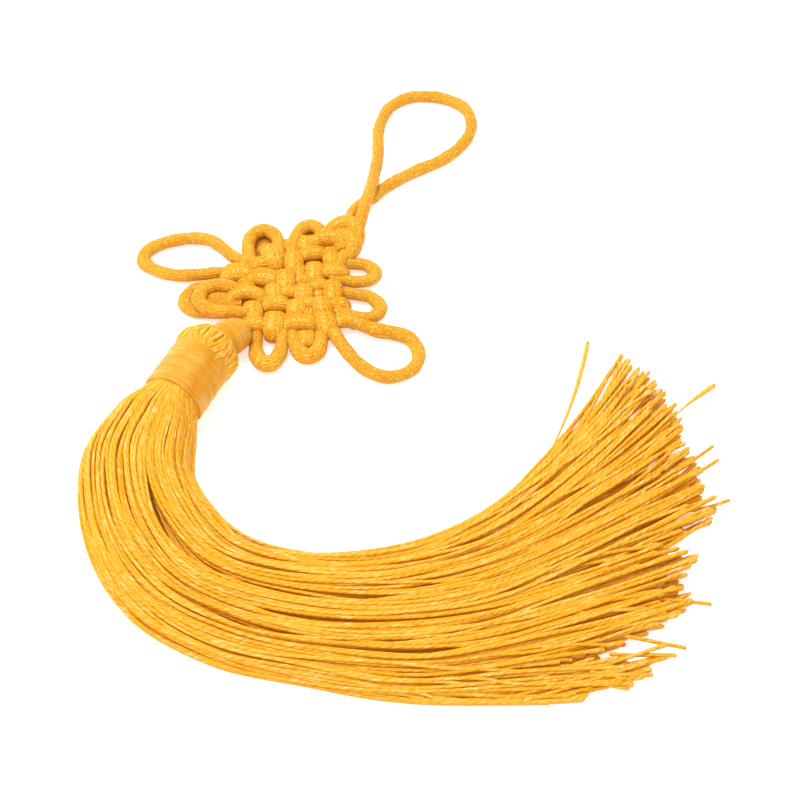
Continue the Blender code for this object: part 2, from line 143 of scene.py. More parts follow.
class Tube:
    """A straight tube, made once, whose copies are bent along centre lines."""

    def __init__(self, rings: int, sides: int) -> None:
        """Makes the tube.

        Args:
            rings: Stations along it.
            sides: Corners round it.
        """
        work = bmesh.new()
        bmesh.ops.create_circle(work, cap_ends=False, segments=sides, radius=1.0)
        edges = list(work.edges)
        for _ in range(rings - 1):
            grown = bmesh.ops.extrude_edge_only(work, edges=edges)["geom"]
            verts = [g for g in grown if isinstance(g, bmesh.types.BMVert)]
            edges = [g for g in grown if isinstance(g, bmesh.types.BMEdge)]
            bmesh.ops.translate(work, vec=(0.0, 0.0, 1.0), verts=verts)
        bmesh.ops.holes_fill(work, edges=[e for e in work.edges if e.is_boundary], sides=0)
        bmesh.ops.recalc_face_normals(work, faces=work.faces)
        self._settle_order(work)
        self.mesh = bpy.data.meshes.new("straight_tube")
        work.to_mesh(self.mesh)
        work.free()
        self.mesh.uv_layers.new(name=UV_NAME)
        co = np.zeros(len(self.mesh.vertices) * 3)
        self.mesh.vertices.foreach_get("co", co)
        co = co.reshape(-1, 3)
        self.ring = np.rint(co[:, 2]).astype(int)
        self.angle = np.arctan2(co[:, 1], co[:, 0])
        self._read_loops()

    @staticmethod
    def _settle_order(work: bmesh.types.BMesh) -> None:
        """Gives edges and faces one order on every run, because extruding doesn't."""
        work.verts.index_update()
        for parts in (work.edges, work.faces):
            ranked = sorted(parts, key=lambda part: sorted(vert.index for vert in part.verts))
            for place, part in enumerate(ranked):
                part.index = place
            parts.sort()

    def _read_loops(self) -> None:
        """Notes each face corner's ring and turn, the seam's far corners as a full turn."""
        corner = np.zeros(len(self.mesh.loops), int)
        self.mesh.loops.foreach_get("vertex_index", corner)
        turn = (self.angle[corner] / (2 * math.pi)) % 1.0
        for face in self.mesh.polygons:
            own = slice(face.loop_start, face.loop_start + face.loop_total)
            if face.loop_total == 4 and np.ptp(turn[own]) > 0.5:
                turn[own] = np.where(turn[own] < 0.5, turn[own] + 1.0, turn[own])
        self.corner_ring = self.ring[corner]
        self.corner_turn = turn

    def stamp(self, work: bmesh.types.BMesh, co: Array, along: Array) -> None:
        """Adds one bent copy to a mesh.

        Args:
            work: The mesh being gathered.
            co: The copy's points in metres, (v, 3).
            along: Millimetres along the tube at each station.
        """
        self.mesh.vertices.foreach_set("co", co.ravel())
        uv = np.column_stack([self.corner_turn, along[self.corner_ring]])
        self.mesh.uv_layers[UV_NAME].data.foreach_set("uv", uv.ravel())
        work.from_mesh(self.mesh)


@dataclass
class Sweep:
    """Centre lines with a size at each station, in layout millimetres.

    Attributes:
        centres: Centre lines, (n, r, 3).
        wide: Half width across, (n, r).
        thick: Half thickness, (n, r).
        across: Direction of the width, (n, r, 3), level and square to the line if None.
        tone: A number from 0 to 1 that its finish reads, for each line, (n, 1), or for each
        station of each line, (n, r). On cords and wound thread a lower number is painted shade;
        on yarns it is a random tone.
        fullness: Below 1, sections are fuller than an ellipse.
    """

    centres: Array
    wide: Array
    thick: Array
    across: Optional[Array] = None
    tone: Optional[Array] = None
    fullness: float = 1.0

    @classmethod
    def of_route(
        cls, route: tuple, count: int, fullness: float, tone: Optional[float] = None
    ) -> "Sweep":
        """Makes a sweep of one cord.

        Args:
            route: Its x, y, z, half width and half thickness from end to end.
            count: Stations along it.
            fullness: How full its sections are.
            tone: The number that its finish reads.

        Returns:
            The sweep.
        """
        line = evenly(route, count)[None]
        tones = None if tone is None else np.array([[tone]])
        return cls(line[..., :3], line[..., 3], line[..., 4], tone=tones, fullness=fullness)

    def points(self, tube: Tube) -> Array:
        """Where a tube's points go along each centre line, (n, v, 3)."""
        tangent = unit(np.gradient(self.centres, axis=1))
        if self.across is None:
            level = tangent * np.array([1.0, 1.0, 0.0])
            guide = np.cross(level, np.array([0.0, 0.0, 1.0]))
        else:
            guide = self.across
        guide = guide - tangent * (guide * tangent).sum(axis=2, keepdims=True)
        across = unit(guide)
        up = np.cross(across, tangent)
        cos, sin = np.cos(tube.angle), np.sin(tube.angle)
        right = np.sign(cos) * np.abs(cos) ** self.fullness * self.wide[:, tube.ring]
        high = np.sign(sin) * np.abs(sin) ** self.fullness * self.thick[:, tube.ring]
        return (
            self.centres[:, tube.ring]
            + across[:, tube.ring] * right[..., None]
            + up[:, tube.ring] * high[..., None]
        )


class Piece:
    """One object of the scene, gathered from tubes and then dressed."""

    def __init__(self, name: str) -> None:
        """Starts an empty piece."""
        self.name = name
        self.work = bmesh.new()
        self.tones: list[Array] = []

    def add(self, sweep: Sweep, sides: int) -> None:
        """Adds a tube for each of a sweep's centre lines.

        Args:
            sweep: The lines and their sizes.
            sides: Corners round each tube.
        """
        tube = Tube(sweep.centres.shape[1], sides)
        points = Layout.metres(sweep.points(tube))
        along = run_lengths(sweep.centres)
        count = len(points)
        tones = np.full((count, 1), 0.5) if sweep.tone is None else sweep.tone
        for co, run, tone in zip(points, along, np.broadcast_to(tones, along.shape)):
            tube.stamp(self.work, co, run)
            self.tones.append(tone[tube.ring])

    def finish(self, material: bpy.types.Material, slot: Slot, *nodes: str) -> bpy.types.Object:
        """Makes the object, gives it its finish and sets it on the frame.

        Args:
            material: Its finish.
            slot: The record's slot of that finish; not used.
            nodes: CAD nodes that it stands for.

        Returns:
            The object.
        """
        mesh = bpy.data.meshes.new(self.name)
        bmesh.ops.recalc_face_normals(self.work, faces=self.work.faces)
        self.work.to_mesh(mesh)
        self.work.free()
        tone = mesh.attributes.new(TONE_NAME, "FLOAT", "POINT")
        tone.data.foreach_set("value", np.concatenate(self.tones).astype(np.float32))
        mesh.materials.append(material)
        mesh.shade_smooth()
        made = bpy.data.objects.new(self.name, mesh)
        bpy.context.scene.collection.objects.link(made)
        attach(made, "root")
        if nodes:
            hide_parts(*nodes)
        faces = sum(len(p.vertices) - 2 for p in mesh.polygons)
        LOG.info("%s: %d triangles", self.name, faces)
        return made


# Materials


class Wire:
    """A socket inside a material, so that sums on it are written as expressions."""

    # Two numbers with no simple ratio scatter the values of chance.
    SPREAD = 12.9898
    SHUFFLE = 43758.5453

    def __init__(self, book: "NodeBook", socket: bpy.types.NodeSocket) -> None:
        """Wraps one output socket."""
        self.book = book
        self.socket = socket

    def _sum(self, operation: str, first: "Value", second: "Value" = 0.0) -> "Wire":
        """One Math node."""
        return self.book.node("ShaderNodeMath", {"operation": operation}, {0: first, 1: second})

    def __add__(self, other: "Value") -> "Wire":
        """self + other."""
        return self._sum("ADD", self, other)

    def __sub__(self, other: "Value") -> "Wire":
        """self - other."""
        return self._sum("SUBTRACT", self, other)

    def __rsub__(self, other: "Value") -> "Wire":
        """other - self."""
        return self._sum("SUBTRACT", other, self)

    def __mul__(self, other: "Value") -> "Wire":
        """self * other."""
        return self._sum("MULTIPLY", self, other)

    def __truediv__(self, other: "Value") -> "Wire":
        """self / other."""
        return self._sum("DIVIDE", self, other)

    def __pow__(self, other: "Value") -> "Wire":
        """self to a power."""
        return self._sum("POWER", self, other)

    def __abs__(self) -> "Wire":
        """self without its sign."""
        return self._sum("ABSOLUTE", self)

    __radd__ = __add__
    __rmul__ = __mul__

    def floor(self) -> "Wire":
        """The whole number at or below self."""
        return self._sum("FLOOR", self)

    def part(self) -> "Wire":
        """self less its whole number."""
        return self._sum("FRACT", self)

    def sine(self) -> "Wire":
        """The sine of self in radians."""
        return self._sum("SINE", self)

    def arch(self) -> "Wire":
        """A row of arches, each from 0 up to 1 and back over one whole number."""
        return (self.part() * math.pi).sine()

    def chance(self) -> "Wire":
        """A number from 0 to 1 that looks random, the same wherever self is the same."""
        return ((self * self.SPREAD).sine() * self.SHUFFLE).part()


Value = Union[Wire, float, tuple]


class NodeBook:
    """The nodes of one material."""

    def __init__(self, name: str) -> None:
        """Starts a material with a Principled shader."""
        self.material = bpy.data.materials.new(name)
        self.material.use_nodes = True
        self.tree = self.material.node_tree
        self.shader = self.tree.nodes["Principled BSDF"]

    def node(
        self, kind: str, settings: dict[str, Any], values: dict[Any, Value], output: Any = 0
    ) -> Wire:
        """Adds a node.

        Args:
            kind: The node's type.
            settings: Its properties, set first.
            values: What each input socket is or is linked to.
            output: The output to use.

        Returns:
            That output.
        """
        made = self.tree.nodes.new(kind)
        for name, setting in settings.items():
            setattr(made, name, setting)
        self.connect(made, values)
        return Wire(self, made.outputs[output])

    def connect(self, made: bpy.types.Node, values: dict[Any, Value]) -> None:
        """Sets or links a node's input sockets."""
        for name, value in values.items():
            if isinstance(value, Wire):
                self.tree.links.new(value.socket, made.inputs[name])
            else:
                made.inputs[name].default_value = value

    def uv(self) -> tuple[Wire, Wire]:
        """The piece's own UV map: turns round the tube, and millimetres along it."""
        place = self.node("ShaderNodeUVMap", {"uv_map": UV_NAME}, {})
        split = self.node("ShaderNodeSeparateXYZ", {}, {0: place})
        return split, Wire(self, split.socket.node.outputs[1])

    def crown(self, u: Wire, low: float, high: float) -> Wire:
        """1 on top of a tube and less down its sides, eased from low to high.

        Args:
            u: Turns round the tube, whose top is at a quarter.
            low: The height, from -1 to 1, where it has come down to 0.
            high: The height above which it is 1.

        Returns:
            The share.
        """
        return self.ease((u * (2 * math.pi)).sine(), low, high)

    def tone(self) -> Wire:
        """The number that each tube carries."""
        settings = {"attribute_name": TONE_NAME, "attribute_type": "GEOMETRY"}
        return self.node("ShaderNodeAttribute", settings, {}, "Fac")

    def noise(self, place: Wire, scale: float, detail: float = 2.0) -> Wire:
        """Smooth noise from 0 to 1, about 0.5 on average."""
        values = {"Vector": place, "Scale": scale, "Detail": detail}
        return self.node("ShaderNodeTexNoise", {}, values)

    def grain(self, scale: float) -> Wire:
        """Noise in the part's own space, the scale in lumps for each metre."""
        return self.noise(self.node("ShaderNodeTexCoord", {}, {}, "Object"), scale)

    def streaks(self, x: Value, y: Value, z: Value, detail: float = 2.0) -> Wire:
        """Noise at a place put together from three numbers, so that it can run along a thread."""
        return self.noise(self.node("ShaderNodeCombineXYZ", {}, {0: x, 1: y, 2: z}), 1.0, detail)

    def ease(self, value: Wire, low: float, high: float) -> Wire:
        """Eases from 0 at low to 1 at high."""
        values = {"Value": value, "From Min": low, "From Max": high}
        return self.node("ShaderNodeMapRange", {"interpolation_type": "SMOOTHSTEP"}, values)

    def blend(self, share: Wire, first: Value, second: Value) -> Wire:
        """A colour between two others."""
        ends = [(*c, 1.0) if isinstance(c, tuple) else c for c in (first, second)]
        values = {0: share, 6: ends[0], 7: ends[1]}
        return self.node("ShaderNodeMix", {"data_type": "RGBA"}, values, 2)

    def bump(self, height: Wire, depth: float) -> Wire:
        """A normal from a height, the depth in metres."""
        values = {"Strength": 1.0, "Distance": depth, "Height": height}
        return self.node("ShaderNodeBump", {}, values)

    def dress(self, values: dict[str, Value]) -> bpy.types.Material:
        """Sets the shader's sockets and hands the material over."""
        self.connect(self.shader, values)
        return self.material


@dataclass(frozen=True)
class Silk:
    """The dyed silk that every thread here is of.

    Attributes:
        lit: The colour of the thread's crown.
        body: The colour in general.
        painted_shade: The colour of painted shade, down between threads and on their shaded
            sides.
        pale: The colour of the odd thread that catches the light.
        sheen: Weight of the soft edge light.
        specular: Strength of the plain gloss.
        glow: Strength of a painted glow, a faint orange emission that warms the dark places as if
            light came through the silk.
    """

    lit: Colour = (0.73, 0.37, 0.024)
    body: Colour = (0.68, 0.29, 0.007)
    painted_shade: Colour = (0.49, 0.155, 0.001)
    pale: Colour = (0.81, 0.50, 0.12)
    sheen: float = 0.02
    specular: float = 0.09
    glow: float = 0.03

    def sockets(self) -> dict[str, Value]:
        """The sockets that are the same on every thread."""
        return {
            "Specular IOR Level": self.specular,
            "Sheen Weight": self.sheen,
            "Sheen Roughness": 0.4,
            "Sheen Tint": (1.0, 0.6, 0.15, 1.0),
            # Painted glow: the silk gives off a little orange light, though it is no lamp.
            "Emission Color": (1.0, 0.36, 0.0, 1.0),
            "Emission Strength": self.glow,
        }


@dataclass(frozen=True)
class YarnSilk(Silk):
    """The tassel's silk, which is looser and lets more light through, shown as a stronger painted
    glow and warmer painted shade.
    """

    lit: Colour = (0.76, 0.42, 0.048)
    body: Colour = (0.71, 0.325, 0.012)
    painted_shade: Colour = (0.62, 0.205, 0.001)
    pale: Colour = (0.82, 0.55, 0.18)
    glow: float = 0.055


@dataclass(frozen=True)
class KnottingCord:
    """Shiny knotting cord, plaited so that columns of slanting threads meet in a V.

    Attributes:
        silk: The thread.
        name: The material's name.
        columns: Columns of V stitches round the cord.
        stitch: Millimetres from one thread to the next along the cord.
        slant: Millimetres that a thread runs on while it crosses half a column.
        relief: Metres that a thread stands proud.
        wander: How far the rows stray, in stitches.
        dashes: How pale the palest threads are, from 0 to 1.
    """

    silk: Silk
    name: str = "knotting_cord"
    columns: int = 7
    stitch: float = 0.88
    slant: float = 1.35
    relief: float = 0.00012
    wander: float = 2.2
    dashes: float = 0.9

    def material(self) -> bpy.types.Material:
        """Builds the finish."""
        book = NodeBook(self.name)
        u, v = book.uv()
        wander = (book.grain(700.0) - 0.5) * self.wander
        from_middle = abs((u * self.columns).part() - 0.5) * 2
        row = (v + from_middle * self.slant) / self.stitch + wander
        thread = row.arch()
        crown = (from_middle * math.pi).sine() * 0.6 + 0.4
        height = thread**0.7 * crown
        fibre = book.streaks(u * 60, v * 1.4, row.floor(), 3.0)
        patch = book.ease(book.grain(160.0), 0.3, 0.7)
        dash = book.streaks(u * 16, v * 1.1, 3.0)
        base = book.blend(patch, self.silk.body, self.silk.lit)
        base = book.blend(book.ease(dash, 0.48, 0.68) * self.dashes, base, self.silk.pale)
        # Painted shade: grooves between threads, the lower sides of the cord and places of low
        # tone are darkened.
        shade = book.ease(height + (fibre - 0.5) * 1.4, 0.0, 0.68)
        shade = shade * book.ease(book.tone(), -0.15, 0.5)
        shade = shade * book.crown(u, -1.0, 0.25)
        colour = book.blend(shade, self.silk.painted_shade, base)
        values: dict[str, Value] = {
            "Base Color": colour,
            "Roughness": 0.52 - height * 0.12,
            "Normal": book.bump(height + (fibre - 0.5) * 0.35, self.relief),
        }
        return book.dress({**values, **self.silk.sockets()})


@dataclass(frozen=True)
class WoundThread:
    """Fine thread wound side by side.

    Attributes:
        silk: The thread.
        name: The material's name.
        fold: The colour of painted shade, down in a crease and wherever else the tone is low.
        pitch: Millimetres from one winding to the next.
        relief: Metres that a winding stands proud.
        sway: How far the windings stray, in windings.
    """

    silk: Silk
    name: str = "wound_thread"
    fold: Colour = (0.74, 0.265, 0.004)
    pitch: float = 0.37
    relief: float = 0.00012
    sway: float = 1.1

    def material(self) -> bpy.types.Material:
        """Builds the finish."""
        book = NodeBook(self.name)
        u, v = book.uv()
        turn = v / self.pitch + u + (book.grain(350.0) - 0.5) * self.sway
        winding = turn.arch()
        tint = turn.floor().chance()
        patch = book.ease(book.grain(240.0), 0.35, 0.7)
        base = book.blend(patch * 0.35 + tint * 0.3, self.silk.body, self.silk.pale)
        fibre = book.streaks(u * 22, v * 5.5, 0.0)
        height = winding**0.6 + (tint - 0.5) * 0.25
        # Painted shade: the grooves between windings are darkened.
        shade = book.ease(height * 0.6 + (fibre - 0.5) * 1.6, -0.3, 0.6)
        thread = book.blend(shade, self.silk.painted_shade, base)
        values: dict[str, Value] = {
            # Painted shade: where the tone is low, the thread is darkened towards the crease
            # colour.
            "Base Color": book.blend(book.ease(book.tone(), 0.0, 0.5), self.fold, thread),
            "Roughness": 0.46 - winding * 0.12,
            "Normal": book.bump(height + (fibre - 0.5) * 0.4, self.relief),
        }
        return book.dress({**values, **self.silk.sockets()})


@dataclass(frozen=True)
class TwistedYarn:
    """Two-ply silk yarn.

    Attributes:
        silk: The thread.
        name: The material's name.
        twist: Millimetres along the yarn for one full turn of its plies.
        relief: Metres that a ply stands proud.
        wander: How far the twist strays, in plies.
    """

    silk: Silk
    name: str = "twisted_yarn"
    twist: float = 3.6
    relief: float = 0.00009
    wander: float = 1.1

    def material(self) -> bpy.types.Material:
        """Builds the finish."""
        book = NodeBook(self.name)
        u, v = book.uv()
        tone = book.tone()
        wander = (book.grain(450.0) - 0.5) * self.wander
        lay = u - v / ((tone * 0.4 + 0.8) * self.twist)
        ply = ((lay + tone * 5) * 2 + wander).arch()
        fibre = book.streaks(lay * 9, v * 0.8, tone * 40, 3.0)
        streak = book.streaks(u * 3, v * 0.35, tone * 90)
        light = book.ease(tone * 0.6 + streak * 0.6, 0.25, 0.95)
        base = book.blend(light, self.silk.body, self.silk.lit)
        base = book.blend(book.ease(streak + fibre * 0.4, 0.72, 1.0), base, self.silk.pale)
        height = ply**0.6
        # Painted shade: the grooves between plies and the yarn's lower sides are darkened.
        shade = book.ease(height * 0.7 + (fibre - 0.5) * 1.6, -0.3, 0.65)
        shade = shade * book.crown(u, -0.7, 0.6)
        values: dict[str, Value] = {
            "Base Color": book.blend(shade, self.silk.painted_shade, base),
            "Roughness": 0.5 - height * 0.1,
            "Normal": book.bump(height + (fibre - 0.5) * 0.8, self.relief),
        }
        return book.dress({**values, **self.silk.sockets()})


# Sub-assemblies


@dataclass
class HangingLoop:
    """The long loop at the top.

    Attributes:
        radius: The cord's radius.
        rings, sides: Stations along it and corners round it.
        swells: How it thickens and thins: share, radians for a millimetre, start.
        route: The cord's line, up one limb, over the bow and down the other.
    """

    radius: float = 1.34
    rings: int = 150
    sides: int = 16
    swells: tuple = ((0.035, 0.9, 0.0), (0.025, 2.3, 1.0))
    route: tuple = (
        # x, y, z
        (-9.0, 44.2, 3.0), (-8.5, 46.2, 3.7), (-7.9, 48.8, 4.2), (-7.4, 51.6, 4.3),
        (-6.7, 55.2, 4.2), (-6.0, 59.6, 3.4), (-5.5, 64.9, 2.4), (-5.0, 69.8, 1.6),
        (-5.0, 74.8, 1.3), (-5.0, 79.2, 1.3), (-4.2, 83.7, 1.3), (-2.6, 87.9, 1.3),
        (0.0, 90.7, 1.3), (2.9, 92.2, 1.3), (6.2, 92.4, 1.3), (9.7, 91.8, 1.3), (13.0, 90.1, 1.3),
        (15.5, 87.2, 1.3), (16.4, 83.4, 1.2), (16.3, 80.2, 1.2), (15.2, 76.6, 1.2),
        (12.9, 73.0, 1.2), (9.6, 69.5, 1.2), (6.2, 67.2, 1.2), (2.6, 64.9, 1.2),
        (-1.0, 62.1, 1.2), (-4.0, 59.3, 1.2), (-5.5, 57.2, 1.3), (-7.3, 55.5, 1.4),
        (-8.9, 53.5, 1.8), (-9.9, 51.3, 2.3), (-10.7, 48.8, 2.7), (-11.4, 46.0, 2.9),
    )

    def build(self, material: bpy.types.Material) -> None:
        """Makes the loop."""
        line = evenly(self.route, self.rings)[None]
        run = run_lengths(line)
        swell = 1 + sum(share * np.sin(run * pace + start) for share, pace, start in self.swells)
        thick = self.radius * swell
        line[..., 2] = np.maximum(line[..., 2], thick)
        piece = Piece("loop_cord")
        piece.add(Sweep(line, thick, thick), self.sides)
        piece.finish(material, Slot.CORD, "hanging_loop")


@dataclass
class ButtonKnot:
    """The round knot below the loop.

    Attributes:
        rings, sides: Stations along each cord and corners round it.
        fullness: How full the cords' sections are.
        arch: The cord over the top.
        lobe: The cord that comes down from under the arch.
        bar: The cord across, at the left.
        inner: What shows between them.
    """

    rings: int = 48
    sides: int = 20
    fullness: float = 0.9
    arch: tuple = (
        # x, y, z, half width, half thickness
        (-16.2, 41.2, 2.8, 1.1, 1.1), (-14.9, 43.0, 3.7, 1.6, 1.4), (-13.2, 44.5, 4.2, 1.85, 1.6),
        (-11.4, 45.0, 4.4, 1.95, 1.7), (-9.8, 44.2, 4.3, 1.8, 1.6), (-8.8, 42.6, 3.8, 1.5, 1.5),
        (-8.8, 40.6, 2.8, 1.2, 1.2),
    )
    lobe: tuple = (
        (-12.6, 41.0, 2.8, 1.2, 1.1), (-11.6, 41.6, 3.6, 1.6, 1.4), (-10.5, 41.3, 4.1, 1.9, 1.6),
        (-9.8, 40.1, 4.1, 2.0, 1.7), (-9.8, 38.7, 3.7, 1.9, 1.6), (-10.4, 37.3, 3.0, 1.6, 1.3),
        (-11.4, 36.2, 2.2, 1.2, 1.0),
    )
    bar: tuple = (
        (-19.0, 39.0, 2.6, 1.2, 1.1), (-17.9, 39.8, 3.6, 1.55, 1.4),
        (-16.4, 40.4, 4.2, 1.75, 1.5), (-14.4, 40.7, 4.4, 1.85, 1.55),
        (-12.8, 40.0, 4.2, 1.75, 1.45), (-12.0, 38.2, 3.2, 1.4, 1.2),
    )
    inner: tuple = (
        (-14.8, 42.0, 2.8, 1.8, 1.5), (-12.6, 42.6, 3.3, 2.0, 1.7), (-10.6, 41.6, 3.2, 1.9, 1.7),
        (-10.2, 38.6, 2.5, 1.5, 1.5),
    )

    def build(self, material: bpy.types.Material) -> None:
        """Makes the knot."""
        piece = Piece("button_knot")
        for route in (self.arch, self.lobe, self.bar, self.inner):
            piece.add(Sweep.of_route(route, self.rings, self.fullness), self.sides)
        piece.finish(material, Slot.CORD, "crown_knot")


